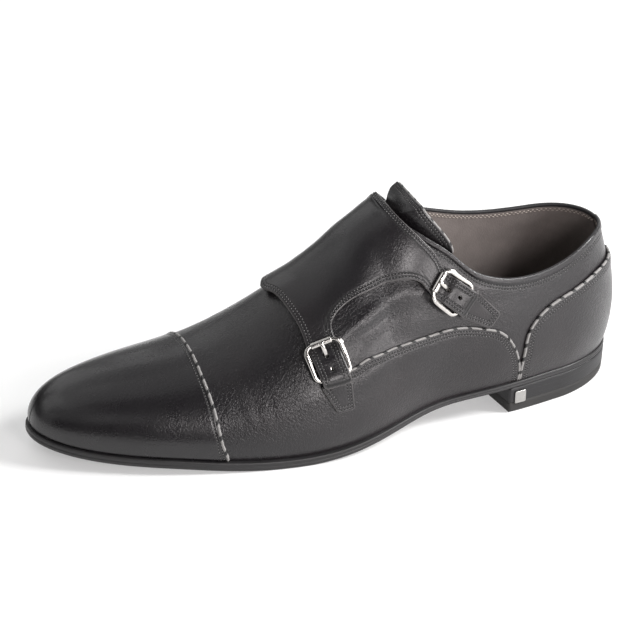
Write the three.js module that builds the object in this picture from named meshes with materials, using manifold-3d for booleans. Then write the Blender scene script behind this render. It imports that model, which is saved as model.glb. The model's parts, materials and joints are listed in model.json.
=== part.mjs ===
// Double monk strap shoe, cap toe, left foot. Millimetres, +Z up.
// The toe points along -X, the outer (lateral) side faces -Y, the inner (medial) side +Y.
// Every piece is cut from one form function, the shape of the last:
//   station s   distance along the foot from the back of the heel (0) to the tip of the toe (LENGTH)
//   girth t     0 at the feather line, where the upper meets the sole, to 1 on the instep ridge
//   side        -1 lateral, +1 medial
import * as THREE from 'three';
import Module from 'manifold-3d';

// ---------- driving sizes ----------
const LENGTH = 305;          // length of the last's feather outline
const WALL = 2.5;            // upper with its lining
const GAP = 0.3;             // between pieces that lie on each other
const CAP_THICK = 1.0;       // toe cap leather
const CAP_PROUD = 0.35;      // toe cap above the vamp
const CAP_STATION = 226.5;   // rear edge of the toe cap on the ridge
const CAP_SLANT = 5.5;       // how far the cap's edge runs back at the feather
const COUNTER_THICK = 1.1;   // heel counter leather
const COUNTER_PROUD = 0.45;  // heel counter above the quarter
const COUNTER_FLARE = 0.6;   // extra at the counter's top edge
const COUNTER_STATION = 61.4;// front edge of the heel counter
const THROAT = 128;          // where the two quarters meet on the ridge
const SOLE_EDGE = 2.2;       // outsole beyond the feather in the forefoot
const HEEL_EDGE = 1.2;       // and at the seat
const HEEL_LENGTH = 72;      // heel block, back to breast on the centre line
const BREAST_SKEW = 7;       // degrees, the inner corner reaches further forward
const INSOLE_THICK = 2.0;
const FLAP_THICK = 1.7;      // monk flap and straps
const STRAP_WIDTH = 14;
const FRAME_WIDTH = 20;      // buckle frame, outside
const FRAME_WIRE = 2.5;      // width of its arms
const HINGE_AT = 17.6;       // hinge bar behind the roller's axis
const ROLLER_RADIUS = 1.75;
const ROLLER_LENGTH = 13.4;
const BADGE = 6.4;           // square badge on the heel

// ---------- tables ----------
// s station | wl, wm half width at the feather, lateral and medial | zf feather height | zr ridge height
// yr ridge towards medial | g half width of the ankle opening's guide | al, am outward lean of the wall, degrees
// kl, km lower fullness | cl, cm upper fullness | psi slope at the ridge, degrees
const FORM = table('s wl wm zf zr yr g al am kl km cl cm psi', [
  [0, 25.1, 30.1, 16.8, 97.9, -0.1, 22, 22.7, 18.0, .38, .38, .28, .30, 80],
  [35, 30.2, 30.8, 17.7, 100.4, -0.1, 23, 17.5, 14.1, .38, .38, .30, .30, 80],
  [75, 34.8, 29.3, 16.7, 107.0, 0.9, 22, 16.6, 8.4, .36, .36, .30, .29, 70],
  [110, 34.0, 26.4, 13.0, 111.6, 2.2, 11, 16.2, 6.3, .34, .34, .40, .39, 42],
  [135, 40.6, 28.1, 9.2, 104.1, 3.3, 0, 18.0, 6.1, .34, .34, .55, .55, 0],
  [160, 45.9, 32.0, 5.9, 87.5, 4.1, 0, 20.0, 10.0, .34, .34, .60, .60, 0],
  [190, 46.1, 40.0, 4.7, 67.4, 3.8, 0, 22.0, 16.0, .34, .36, .62, .62, 0],
  [220, 41.8, 43.7, 5.8, 51.1, 3.9, 0, 18.0, 15.9, .36, .40, .66, .66, 0],
  [250, 35.1, 38.0, 8.1, 44.1, 5.0, 0, 14.0, 13.9, .40, .42, .70, .70, 0],
  [280, 28.6, 29.7, 10.0, 38.9, 6.0, 0, 12.0, 12.5, .44, .44, .70, .71, 0],
  [305, 27.4, 24.9, 14.2, 30.3, 7.0, 0, 12.0, 14.1, .46, .46, .70, .71, 0],
]);
const ENDS = { heelRun: 37.5, heelPower: 2.0, toeRun: 57.7, toePower: 2.25, guideStart: 9, guideRun: 30, guidePower: 2.2,
  guideMeets: 150, toeSet: 21.7, toeSetRun: 75, toeSwing: 11.9, toeSwingFrom: 150, heelSwing: 2.0, heelSwingTo: 90 };
const SOLE = table('s thick edge', [[0, 3.4, 1.2], [75, 3.2, 1.2], [100, 3.2, 1.3], [150, 4.3, 2.0], [185, 4.9, 2.2], [215, 4.9, 2.2], [260, 4.6, 2.2], [305, 4.6, 2.2]]);
// girth of the topline at each station, lateral and medial
const TOPLINE = table('s lat med', [[0, .805, .805], [10, .79, .795], [19, .755, .782], [31, .698, .76], [43, .650, .742], [56, .622, .728], [68, .617, .728],
  [79, .636, .742], [88, .677, .763], [93, .722, .776], [98, .770, .792], [103.5, .811, .815], [108, .840, .842], [114, .884, .884], [118, .914, .916], [122, .950, .950], [125.5, .980, .980], [128, 1, 1]]);
// girth of the heel counter's top edge; ahead of the counter the same row of the mesh runs on
const COUNTER_TOP = table('s t', [[0, .535], [17, .535], [30, .487], [46, .422], [55, .359], [59.5, .29], [64, .27], [80, .30], [120, .36], [160, .38], [226, .42], [305, .42]]);
// monk flap: its back and front edges from the ridge (r 0) to the straps (r 1), lateral side, and to its medial end
const FLAP_LAT = table('r back front', [[0, 121.6, 186.0], [.2, 120.9, 182.6], [.4, 118.6, 181.2], [.6, 114.6, 180.0], [.8, 108.9, 178.4], [1, 102.4, 176.8]]);
const FLAP_MED = table('r back front', [[0, 121.6, 186.0], [.2, 120.4, 184.2], [.4, 116.4, 182.2], [.6, 111.0, 180.0], [.8, 106.0, 177.6], [1, 101.0, 175.0]]);
// lower edge of the flap's body between the straps
const FLAP_CUT = table('s t', [[102.4, .689], [108, .650], [113.5, .612], [118, .622], [122, .626], [129, .614], [139, .611], [148, .632], [155, .644], [160.5, .637], [165, .606], [171, .607], [176.8, .618]]);
const FLAP_MED_END = 0.66;
// a strap from the roller's axis (u 0) to its end: height of its underside above the upper
const STRAP = table('u h', [[-3, .45], [2.6, .45], [4.9, .8], [7.5, 3.5], [11, 3.5], [14.5, 4.4], [17.6, 5.25], [19.8, 4.8], [21.8, 3.4]]);
// buckles: roller's axis, strap end and tab end on the form
const BUCKLES = [
  { name: 'upper', a: [108.5, .630], b: [92.4, .508], c: [78.9, .403] },
  { name: 'lower', a: [170.6, .575], b: [166.8, .381], c: [163.0, .247] },
];
const STRAP_REACH = 21.8;    // roller's axis to the strap's end

function table(names, rows) {
  const keys = names.split(' ');
  return Object.fromEntries(keys.map((k, i) => [k, rows.map(r => r[i])]));
}
const clamp = (x, a, b) => Math.min(b, Math.max(a, x));
const smooth = x => { x = clamp(x, 0, 1); return x * x * (3 - 2 * x); };
const lerp = (a, b, t) => a + (b - a) * t;
function linear(xs, ys) {
  return x => {
    if (x <= xs[0]) return ys[0];
    for (let i = 1; i < xs.length; i++) if (x <= xs[i]) return lerp(ys[i - 1], ys[i], (x - xs[i - 1]) / (xs[i] - xs[i - 1]));
    return ys[ys.length - 1];
  };
}
// natural cubic spline through a table's column; returns value (d = 0) or slope (d = 1)
function spline(xs, ys) {
  const n = xs.length, h = [], m = new Array(n).fill(0), c = new Array(n).fill(0), r = new Array(n).fill(0);
  for (let i = 0; i < n - 1; i++) h.push(xs[i + 1] - xs[i]);
  for (let i = 1; i < n - 1; i++) {
    const a = h[i - 1], b = 2 * (h[i - 1] + h[i]) - a * c[i - 1];
    c[i] = h[i] / b;
    r[i] = (6 * ((ys[i + 1] - ys[i]) / h[i] - (ys[i] - ys[i - 1]) / h[i - 1]) - a * r[i - 1]) / b;
  }
  for (let i = n - 2; i > 0; i--) m[i] = r[i] - c[i] * m[i + 1];
  return (x, d = 0) => {
    let i = 0;
    while (i < n - 2 && x > xs[i + 1]) i++;
    const a = xs[i + 1] - x, b = x - xs[i], k = h[i];
    if (d) return (-m[i] * a * a + m[i + 1] * b * b) / (2 * k) - (ys[i] / k - m[i] * k / 6) + (ys[i + 1] / k - m[i + 1] * k / 6);
    return (m[i] * a ** 3 + m[i + 1] * b ** 3) / (6 * k) + (ys[i] / k - m[i] * k / 6) * a + (ys[i + 1] / k - m[i + 1] * k / 6) * b;
  };
}
const F = Object.fromEntries(Object.keys(FORM).filter(k => k !== 's').map(k => [k, spline(FORM.s, FORM[k])]));
const soleThick = linear(SOLE.s, SOLE.thick), soleEdge = linear(SOLE.s, SOLE.edge);
const topLat = spline(TOPLINE.s, TOPLINE.lat), topMed = spline(TOPLINE.s, TOPLINE.med);
const counterTop = linear(COUNTER_TOP.s, COUNTER_TOP.t);

// ---------- the last ----------
const end = (u, p) => (1 - (1 - clamp(u, 0, 1)) ** p) ** (1 / p);
function centre(s) {
  const u = Math.max(0, (s - ENDS.toeSwingFrom) / (LENGTH - ENDS.toeSwingFrom)), v = Math.max(0, (ENDS.heelSwingTo - s) / ENDS.heelSwingTo);
  return ENDS.toeSwing * u * u + ENDS.heelSwing * v;
}
function width(s, side) {
  return F[side < 0 ? 'wl' : 'wm'](s) * end(s / ENDS.heelRun, ENDS.heelPower) * end((LENGTH - s) / ENDS.toeRun, ENDS.toePower);
}
function feather(s, side) { return new THREE.Vector3(s, centre(s) + side * width(s, side), F.zf(s)); }
function guide(s, side) {
  let q = s < ENDS.guideMeets ? ENDS.guideStart + s * (1 - ENDS.guideStart / ENDS.guideMeets) : s;
  const u = Math.max(0, (s - (LENGTH - ENDS.toeSetRun)) / ENDS.toeSetRun);
  q -= ENDS.toeSet * u * u;
  let g = F.g(q) * end((q - ENDS.guideStart) / ENDS.guideRun, ENDS.guidePower);
  g = q > 158 ? 0 : Math.max(0, g);
  return { p: new THREE.Vector3(q, centre(q) + F.yr(q) * clamp(q / 60, 0, 1) + side * g, F.zr(q)), slope: F.zr(q, 1) };
}
// point of the form in (s, y, z)
function form(s, t, side) {
  const A = feather(s, side), { p: D, slope } = guide(s, side);
  const dx = D.x - A.x, dy = D.y - A.y, d = Math.hypot(dx, dy) + 1e-9, ex = dx / d, ey = dy / d;
  const lean = THREE.MathUtils.degToRad(F[side < 0 ? 'al' : 'am'](s)), k = F[side < 0 ? 'kl' : 'km'](s), c = F[side < 0 ? 'cl' : 'cm'](s);
  const psi = THREE.MathUtils.degToRad(clamp(F.psi(s), 0, 90)), H = D.z - A.z;
  const B = new THREE.Vector3(A.x - ex * Math.sin(lean) * k * H, A.y - ey * Math.sin(lean) * k * H, A.z + Math.cos(lean) * k * H);
  const h = c * (d * Math.cos(psi) + H * 0.9 * Math.sin(psi));
  const C = new THREE.Vector3(D.x - ex * Math.cos(psi) * h, D.y - ey * Math.cos(psi) * h, D.z - (Math.sin(psi) + Math.cos(psi) * slope * ex) * h);
  const q = 1 - t;
  return A.multiplyScalar(q * q * q).addScaledVector(B, 3 * q * q * t).addScaledVector(C, 3 * q * t * t).addScaledVector(D, t * t * t);
}
const toWorld = p => new THREE.Vector3(LENGTH / 2 - p.x, p.y, p.z);
function base(s, t, side) { return toWorld(form(clamp(s, 0, LENGTH), t, side)); }
function sideNormal(s, t, side) {
  const ds = 0.04, dt = 1e-3, s0 = Math.max(0, s - ds), s1 = Math.min(LENGTH, s + ds), t0 = Math.max(0, t - dt), t1 = Math.min(1, t + dt);
  const a = base(s1, t, side).sub(base(s0, t, side)), b = base(s, t1, side).sub(base(s, t0, side));
  return a.cross(b).multiplyScalar(side).normalize();
}
// outward normal; seams shared by both sides take the mean of the two
function normal(s, t, side) {
  if (s > LENGTH - 1e-6) t = Math.min(t, 0.97);   // ridge and seam run the same way at the very tip
  const n = sideNormal(s, t, side);
  if (s < 1e-6 || s > LENGTH - 1e-6 || t > 1 - 1e-6) n.add(sideNormal(s, t, -side)).normalize();
  if (t < 1e-6) { n.z = 0; n.normalize(); }
  return n;
}
const off = (s, t, side, d) => base(s, t, side).addScaledVector(normal(s, t, side), d);

// ---------- mesh helpers ----------
function geometry(verts, tris) {
  const g = new THREE.BufferGeometry();
  g.setAttribute('position', new THREE.Float32BufferAttribute(verts.flatMap(v => [v.x, v.y, v.z]), 3));
  g.setIndex(tris.flat());
  g.computeVertexNormals();
  return g;
}
// a patch (number of vertices, triangles seen from outside) becomes a closed shell between two skins
function shell(count, tris, outer, inner) {
  const verts = [], out = [], edge = new Map();
  for (let i = 0; i < count; i++) verts.push(outer(i));
  for (let i = 0; i < count; i++) verts.push(inner(i));
  for (const [a, b, c] of tris) {
    out.push([a, b, c], [a + count, c + count, b + count]);
    for (const [p, q] of [[a, b], [b, c], [c, a]]) edge.set(p * count + q, [p, q]);
  }
  for (const [p, q] of edge.values()) if (!edge.has(q * count + p)) out.push([q, p, p + count], [q, p + count, q + count]);
  return geometry(verts, out);
}
// stacked rings of equal length, closed at both ends by rungs between a ring's two halves
function stack(rings) {
  const n = rings[0].length, verts = rings.flat(), tris = [];
  for (let k = 0; k + 1 < rings.length; k++) for (let i = 0; i < n; i++) {
    const j = (i + 1) % n, a = k * n + i, b = k * n + j, c = a + n, d = b + n;
    tris.push([a, c, b], [b, c, d]);
  }
  const cap = (o, flip) => {
    for (let i = 0, j = n - 1; i < j - 1;) {
      const quad = i + 1 < j - 1 ? [[o + i, o + i + 1, o + j], [o + i + 1, o + j - 1, o + j]] : [[o + i, o + i + 1, o + j]];
      for (const q of quad) tris.push(flip ? [q[0], q[2], q[1]] : q);
      i++; j--;
    }
  };
  cap(0, false); cap((rings.length - 1) * n, true);
  return geometry(verts, tris);
}
function positive(g) {
  // turn the faces out if the volume comes out negative
  const p = g.attributes.position, ix = g.index.array; let v = 0;
  const a = new THREE.Vector3(), b = new THREE.Vector3(), c = new THREE.Vector3();
  for (let i = 0; i < ix.length; i += 3) {
    a.fromBufferAttribute(p, ix[i]); b.fromBufferAttribute(p, ix[i + 1]); c.fromBufferAttribute(p, ix[i + 2]);
    v += a.dot(b.cross(c));
  }
  if (v < 0) for (let i = 0; i < ix.length; i += 3) [ix[i + 1], ix[i + 2]] = [ix[i + 2], ix[i + 1]];
  return g;
}
const wasm = await Module(); wasm.setup();
const toSolid = g => new wasm.Manifold(new wasm.Mesh({ numProp: 3, vertProperties: new Float32Array(g.attributes.position.array), triVerts: new Uint32Array(g.index.array) }));
function fromSolid(m) {
  const r = m.getMesh(), g = new THREE.BufferGeometry();
  g.setAttribute('position', new THREE.Float32BufferAttribute(r.vertProperties, 3));
  g.setIndex(Array.from(r.triVerts)); g.computeVertexNormals();
  return g;
}
const MATERIAL = {
  leather: new THREE.MeshStandardMaterial({ color: 0x2b2a2c, roughness: 0.38, metalness: 0 }),
  lining: new THREE.MeshStandardMaterial({ color: 0x5f5652, roughness: 0.7, metalness: 0 }),
  sole: new THREE.MeshStandardMaterial({ color: 0x232224, roughness: 0.55, metalness: 0 }),
  metal: new THREE.MeshStandardMaterial({ color: 0xc9c7c4, roughness: 0.15, metalness: 1 }),
};
const shoe = new THREE.Group();
function add(name, g, material) {
  const mesh = new THREE.Mesh(positive(g), material.clone());
  mesh.name = name; shoe.add(mesh); return mesh;
}

// ---------- upper, toe cap and heel counter share one mesh of stations and rows ----------
const STATIONS = [0, 3, 8, 15, 23, 32, 41, 49, 55, 59, COUNTER_STATION, 63, 69, 76, 83, 89, 94, 99, 104, 109, 114, 118, 122, 125.5, THROAT, 135, 144, 155, 167, 180, 193, 206, 217, 225,
  CAP_STATION, 234, 243, 252, 261, 270, 278, 286, 293, 299, 303, LENGTH];
const ROWS = 12, COUNTER_ROWS = 5;
const COUNTER_COL = STATIONS.indexOf(COUNTER_STATION), THROAT_COL = STATIONS.indexOf(THROAT), CAP_COL = STATIONS.indexOf(CAP_STATION), LAST = STATIONS.length - 1;
function topGirth(s, side) { return s >= THROAT ? 1 : Math.min(1, (side < 0 ? topLat : topMed)(s)); }
function node(col, row, side) {
  let s = STATIONS[col];
  const c = counterTop(s), top = topGirth(s, side);
  const t = row <= COUNTER_ROWS ? c * row / COUNTER_ROWS : row === COUNTER_ROWS + 1 ? c + 0.022 : lerp(c + 0.022, top, (row - COUNTER_ROWS - 1) / (ROWS - COUNTER_ROWS - 1));
  const bump = s < CAP_STATION ? smooth((s - 187) / (CAP_STATION - 187)) : smooth((270 - s) / (270 - CAP_STATION));
  s -= CAP_SLANT * (1 - t) ** 2.2 * bump;
  return { s, t, side, col, row };
}
function gridPatch(c0, c1, r0, r1) {
  const ids = new Map(), nodes = [], tris = [];
  const id = (col, row, side) => {
    if (col === 0 || col === LAST) side = -1;
    if (row === ROWS && col >= THROAT_COL) side = -1;
    const k = `${col},${row},${side}`;
    if (!ids.has(k)) { ids.set(k, nodes.length); nodes.push(node(col, row, side)); }
    return ids.get(k);
  };
  for (const side of [-1, 1]) for (let c = c0; c < c1; c++) for (let r = r0; r < r1; r++) {
    const a = id(c, r, side), b = id(c + 1, r, side), d = id(c + 1, r + 1, side), e = id(c, r + 1, side);
    const q = [[a, b, d], [a, d, e]];
    for (const t of q) { const u = side < 0 ? t : [t[0], t[2], t[1]]; if (new Set(u).size === 3) tris.push(u); }
  }
  return { nodes, tris };
}
const inCap = n => n.col >= CAP_COL, inCounter = n => n.col <= COUNTER_COL && n.row <= COUNTER_ROWS;
{
  const { nodes, tris } = gridPatch(0, LAST, 0, ROWS);
  const recess = n => inCap(n) ? CAP_PROUD - CAP_THICK - GAP : inCounter(n) ? COUNTER_PROUD - COUNTER_THICK - GAP : 0;
  add('upper', shell(nodes.length, tris, i => off(nodes[i].s, nodes[i].t, nodes[i].side, recess(nodes[i])), i => off(nodes[i].s, nodes[i].t, nodes[i].side, -WALL)), MATERIAL.leather);
}
{
  const { nodes, tris } = gridPatch(CAP_COL, LAST, 0, ROWS);
  add('toe_cap', shell(nodes.length, tris, i => off(nodes[i].s, nodes[i].t, nodes[i].side, CAP_PROUD), i => off(nodes[i].s, nodes[i].t, nodes[i].side, CAP_PROUD - CAP_THICK)), MATERIAL.leather);
}
{
  const { nodes, tris } = gridPatch(0, COUNTER_COL, 0, COUNTER_ROWS);
  const proud = n => COUNTER_PROUD + COUNTER_FLARE * smooth((n.row - 2) / 3) * smooth(1 - n.s / 40);
  add('heel_counter', shell(nodes.length, tris, i => off(nodes[i].s, nodes[i].t, nodes[i].side, proud(nodes[i])), i => off(nodes[i].s, nodes[i].t, nodes[i].side, COUNTER_PROUD - COUNTER_THICK)), MATERIAL.leather);
}

// ---------- sole unit ----------
const RUNGS = [0.6, 2.5, 6, 11, 17, 24, 32, 41, 51, 61, 72, 84, 96, 108, 120, 132, 144, 156, 168, 180, 192, 204, 216, 228, 240, 251, 262, 272, 281, 289, 295, 300, 303.2, 304.6];
// closed outline around the feather, pushed out by d(s); the ring runs down the lateral side and back along the medial side
function outline(d, from = 0, to = LENGTH) {
  const list = [];
  const st = RUNGS.filter(s => s > from && s < to);
  const at = (s, side) => {
    const h = 0.05, a = feather(clamp(s - h, 0, LENGTH), side), b = feather(clamp(s + h, 0, LENGTH), side);
    const tx = b.x - a.x, ty = b.y - a.y, l = Math.hypot(tx, ty), p = feather(s, side);
    return { s: p.x - side * ty / l * d(s), y: p.y + side * tx / l * d(s) };
  };
  if (from === 0) list.push({ s: -d(0), y: centre(0) });
  for (const s of st) list.push(at(s, -1));
  if (to === LENGTH) list.push({ s: LENGTH + d(LENGTH), y: centre(LENGTH) });
  for (const s of [...st].reverse()) list.push(at(s, 1));
  return list;
}
const seat = s => F.zf(clamp(s, 0, LENGTH)) + (s > LENGTH ? (s - LENGTH) * F.zf(LENGTH, 1) : 0);
const soleTop = s => seat(s) - GAP;
const soleBottom = s => Math.max(0, seat(s) - soleThick(s));
const ring = (pts, z) => pts.map(p => new THREE.Vector3(LENGTH / 2 - p.s, p.y, z(p)));
{
  const shape = k => outline(s => soleEdge(s) + k);
  const lower = (p, f) => lerp(soleTop(p.s), soleBottom(p.s), f);
  add('outsole', stack([ring(shape(-0.35), p => lower(p, 0)), ring(shape(0), p => lower(p, 0.14)), ring(shape(0.05), p => lower(p, 0.6)), ring(shape(-0.25), p => lower(p, 0.9)), ring(shape(-0.7), p => lower(p, 1))]), MATERIAL.sole);
}
{
  // heel block: seat outline cut off at a slightly skewed breast
  const tan = Math.tan(THREE.MathUtils.degToRad(BREAST_SKEW));
  const cut = (k) => {
    const whole = outline(s => HEEL_EDGE + k, 0, 120), breast = p => HEEL_LENGTH + p.y * tan;
    const kept = [], n = whole.length;
    for (let i = 0; i < n; i++) {
      const p = whole[i], q = whole[(i + 1) % n], a = p.s - breast(p), b = q.s - breast(q);
      if (a < -0.6) kept.push(p);
      if (a * b < 0) { const f = a / (a - b); kept.push({ s: lerp(p.s, q.s, f), y: lerp(p.y, q.y, f) }); }
    }
    return kept;
  };
  // order the ring so that its two halves are lateral and medial: start at the heel's back
  const under = s => soleBottom(s) - GAP;
  const taper = [[0.0, 1], [-0.1, .55], [-0.5, .08], [-0.9, 0]];
  add('heel_block', stack(taper.map(([k, f]) => ring(cut(k), p => under(p.s) * f))), MATERIAL.sole);
}
{
  const pts = outline(s => -(WALL + GAP + 0.5), 0.1, LENGTH - 0.1);
  add('insole', stack([ring(pts, p => seat(p.s) + INSOLE_THICK), ring(pts, p => seat(p.s))]), MATERIAL.lining);
}
{
  // badge on the lateral face of the heel, just behind the breast
  const s0 = 68.0 - BADGE / 2 - 3.2, zc = 8.6, h = BADGE / 2;
  const a = outline(s => HEEL_EDGE, 0, 120).filter(p => p.y < 0);
  const yAt = s => linear(a.map(p => p.s), a.map(p => p.y))(s);
  const ds = 4, slope = (yAt(s0 + ds) - yAt(s0 - ds)) / (2 * ds);
  const g = new THREE.BoxGeometry(BADGE, 0.5, BADGE + 0.4);
  const m = add('heel_badge', g, MATERIAL.metal);
  m.position.set(LENGTH / 2 - s0, yAt(s0) - 0.25 - GAP, zc);
  m.rotation.z = Math.atan(-slope);
}

// ---------- tongue: under the quarters, rising out of the throat ----------
{
  const TOP = linear([-.30, -.22, -.17, -.10, -.04, .04, .12, .22, .30], [97, 96, 98, 102.5, 106, 107, 105, 99, 98]);
  const W = [-.27, -.22, -.175, -.13, -.09, -.045, 0, .045, .09, .13, .175, .22, .27], FRONT = 152, R = 9;
  const nodes = [], tris = [];
  for (let j = 0; j <= R; j++) for (const w of W) {
    const s = lerp(TOP(w), FRONT, (j / R) ** 1.1), side = w < 0 ? -1 : 1, t = 1 - Math.abs(w);
    const room = Math.max(0, 1 - topGirth(s, side) - 0.03);
    const rise = room > 0 ? 7.0 * smooth((127 - s) / 19) * clamp(1 - Math.abs(w) / room, 0, 1) ** 0.7 : 0;
    nodes.push({ s, t, side, d: -(WALL + GAP + 0.9) + rise });
  }
  const n = W.length;
  for (let j = 0; j < R; j++) for (let i = 0; i < n - 1; i++) { const a = j * n + i, b = a + 1, c = a + n + 1, d = a + n; tris.push([a, d, c], [a, c, b]); }
  const up = i => { const q = nodes[i]; return q; };
  add('tongue', shell(nodes.length, tris, i => off(up(i).s, up(i).t, up(i).side, up(i).d), i => off(up(i).s, up(i).t, up(i).side, up(i).d - 2.0)), MATERIAL.leather);
}

// ---------- buckle placing: u along the strap from the roller's axis, v across, h above the upper ----------
function place(b) {
  const A = b.a, B = b.b, C = b.c, side = -1;
  const per = (p, q) => base(...p, side).distanceTo(base(...q, side));
  const ab = per(A, B), bc = per(B, C), k1 = [(B[0] - A[0]) / ab, (B[1] - A[1]) / ab], k2 = [(C[0] - B[0]) / bc, (C[1] - B[1]) / bc];
  const mid = [(A[0] + B[0]) / 2, (A[1] + B[1]) / 2], e = 0.5;
  // direction across, square to the strap on the surface
  const ps = base(mid[0] + e, mid[1], side).sub(base(mid[0] - e, mid[1], side)).divideScalar(2 * e);
  const pt = base(mid[0], mid[1] + 0.01, side).sub(base(mid[0], mid[1] - 0.01, side)).divideScalar(0.02);
  const along = ps.clone().multiplyScalar(k1[0]).addScaledVector(pt, k1[1]);
  let x = -along.dot(pt), y = along.dot(ps);
  const l = ps.clone().multiplyScalar(x).addScaledVector(pt, y).length();
  x /= l; y /= l;
  return (u, v, h) => {
    const f = Math.max(0, u - ab), g = Math.min(u, ab);
    const s = A[0] + k1[0] * g + k2[0] * f + x * v, t = A[1] + k1[1] * g + k2[1] * f + y * v;
    return off(s, t, side, h);
  };
}
const MAPS = BUCKLES.map(b => ({ ...b, at: place(b) }));
// which way v runs: +v must point to the front of the shoe for the upper buckle's lower edge and the lower buckle's front edge
for (const m of MAPS) { const p = m.at(0, 7, 0), q = m.at(0, -7, 0); m.flip = p.x > q.x ? -1 : 1; const f = m.at; m.at = (u, v, h) => f(u, v * m.flip, h); }

// ---------- monk flap with its two strap ends ----------
{
  const nodes = [], tris = [], index = new Map();
  const push = (key, point) => { if (!index.has(key)) { index.set(key, nodes.length); nodes.push(point); } return index.get(key); };
  const span = linear(FLAP_CUT.s, FLAP_CUT.t);
  const lat = { back: spline(FLAP_LAT.r, FLAP_LAT.back), front: spline(FLAP_LAT.r, FLAP_LAT.front) }, med = { back: spline(FLAP_MED.r, FLAP_MED.back), front: spline(FLAP_MED.r, FLAP_MED.front) };
  const P = [0, .052, .098, .149, .22, .3, .38, .46, .54, .62, .70, .775, .841, .893, .947, 1];
  const RL = 7, RM = 6;
  const body = (i, r) => {      // r < 0 medial, 0 ridge, > 0 lateral
    const side = r > 0 ? -1 : 1, f = Math.abs(r) / (r > 0 ? RL : RM), k = r > 0 ? lat : med, p = P[i];
    const s = lerp(k.back(f), k.front(f), p), e = r > 0 ? span(lerp(102.4, 176.8, p)) : FLAP_MED_END, t = 1 - f * (1 - e);
    const h = 0.5 + 1.15 * (1 - f) + 1.5 * smooth((p - .78) / .22) * (1 - f ** 1.6);
    return { p: h0 => off(s, t, side, h + h0) };
  };
  for (let r = -RM; r < RL; r++) for (let i = 0; i < P.length - 1; i++) {
    const q = (c, d) => push(`b${c},${d}`, body(c, d));
    const a = q(i, r), b = q(i + 1, r), c = q(i + 1, r + 1), d = q(i, r + 1);
    tris.push([a, c, b], [a, d, c]);
  }
  const under = spline(STRAP.u, STRAP.h);
  const U = [-3, 0, 2.6, 4.9, 7.5, 9.2, 11, 12.8, 14.5, 16, 17.6, 18.8, 19.8, 20.9, STRAP_REACH];
  const half = STRAP_WIDTH / 2, V = [-half, -1.3, 1.3, half];
  MAPS.forEach((m, k) => {
    const cols = k === 0 ? [0, 1, 2, 3] : [12, 13, 14, 15];
    // body columns run from the back edge to the front edge; v runs the same way
    const at = (j, i) => j < 0 ? push(`b${cols[i]},${RL}`, null) : push(`s${k},${j},${i}`, { p: h0 => m.at(U[j], V[i] * (j === U.length - 1 && (i === 0 || i === 3) ? 0.86 : 1), (linear(STRAP.u, STRAP.h)(U[j]) + under(U[j])) / 2 + h0) });
    for (let j = -1; j < U.length - 1; j++) for (let i = 0; i < 3; i++) {
      if (j >= 0 && i === 1 && U[j] === 4.9) continue;      // hole for the prong
      const a = at(j, i), b = at(j, i + 1), c = at(j + 1, i + 1), d = at(j + 1, i);
      tris.push([a, c, b], [a, d, c]);
    }
  });
  add('monk_flap', shell(nodes.length, tris, i => nodes[i].p(FLAP_THICK), i => nodes[i].p(0)), MATERIAL.leather);
}

// ---------- buckles ----------
// a rod of round or oval section along a path of placed points
function sweep(path, section, closed) {
  const n = path.length, m = section.length, verts = [], tris = [];
  for (let i = 0; i < n; i++) {
    const p = path[i], a = path[closed ? (i + n - 1) % n : Math.max(0, i - 1)], b = path[closed ? (i + 1) % n : Math.min(n - 1, i + 1)];
    const t = b.o.clone().sub(a.o).normalize(), up = p.up.clone().addScaledVector(t, -p.up.dot(t)).normalize(), w = up.clone().cross(t);
    for (const [x, y] of section) verts.push(p.o.clone().addScaledVector(w, x * p.w).addScaledVector(up, y * p.h));
  }
  for (let i = 0; i < (closed ? n : n - 1); i++) for (let j = 0; j < m; j++) {
    const k = (i + 1) % n, l = (j + 1) % m; tris.push([i * m + j, k * m + j, k * m + l], [i * m + j, k * m + l, i * m + l]);
  }
  if (!closed) for (let j = 1; j < m - 1; j++) { tris.push([0, j, j + 1]); tris.push([(n - 1) * m, (n - 1) * m + j + 1, (n - 1) * m + j]); }
  return positive(geometry(verts, tris));
}
const circle = n => Array.from({ length: n }, (_, i) => [Math.cos(2 * Math.PI * i / n), Math.sin(2 * Math.PI * i / n)]);
const TOP_H = 4.15, HINGE_H = 2.75;
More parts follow.
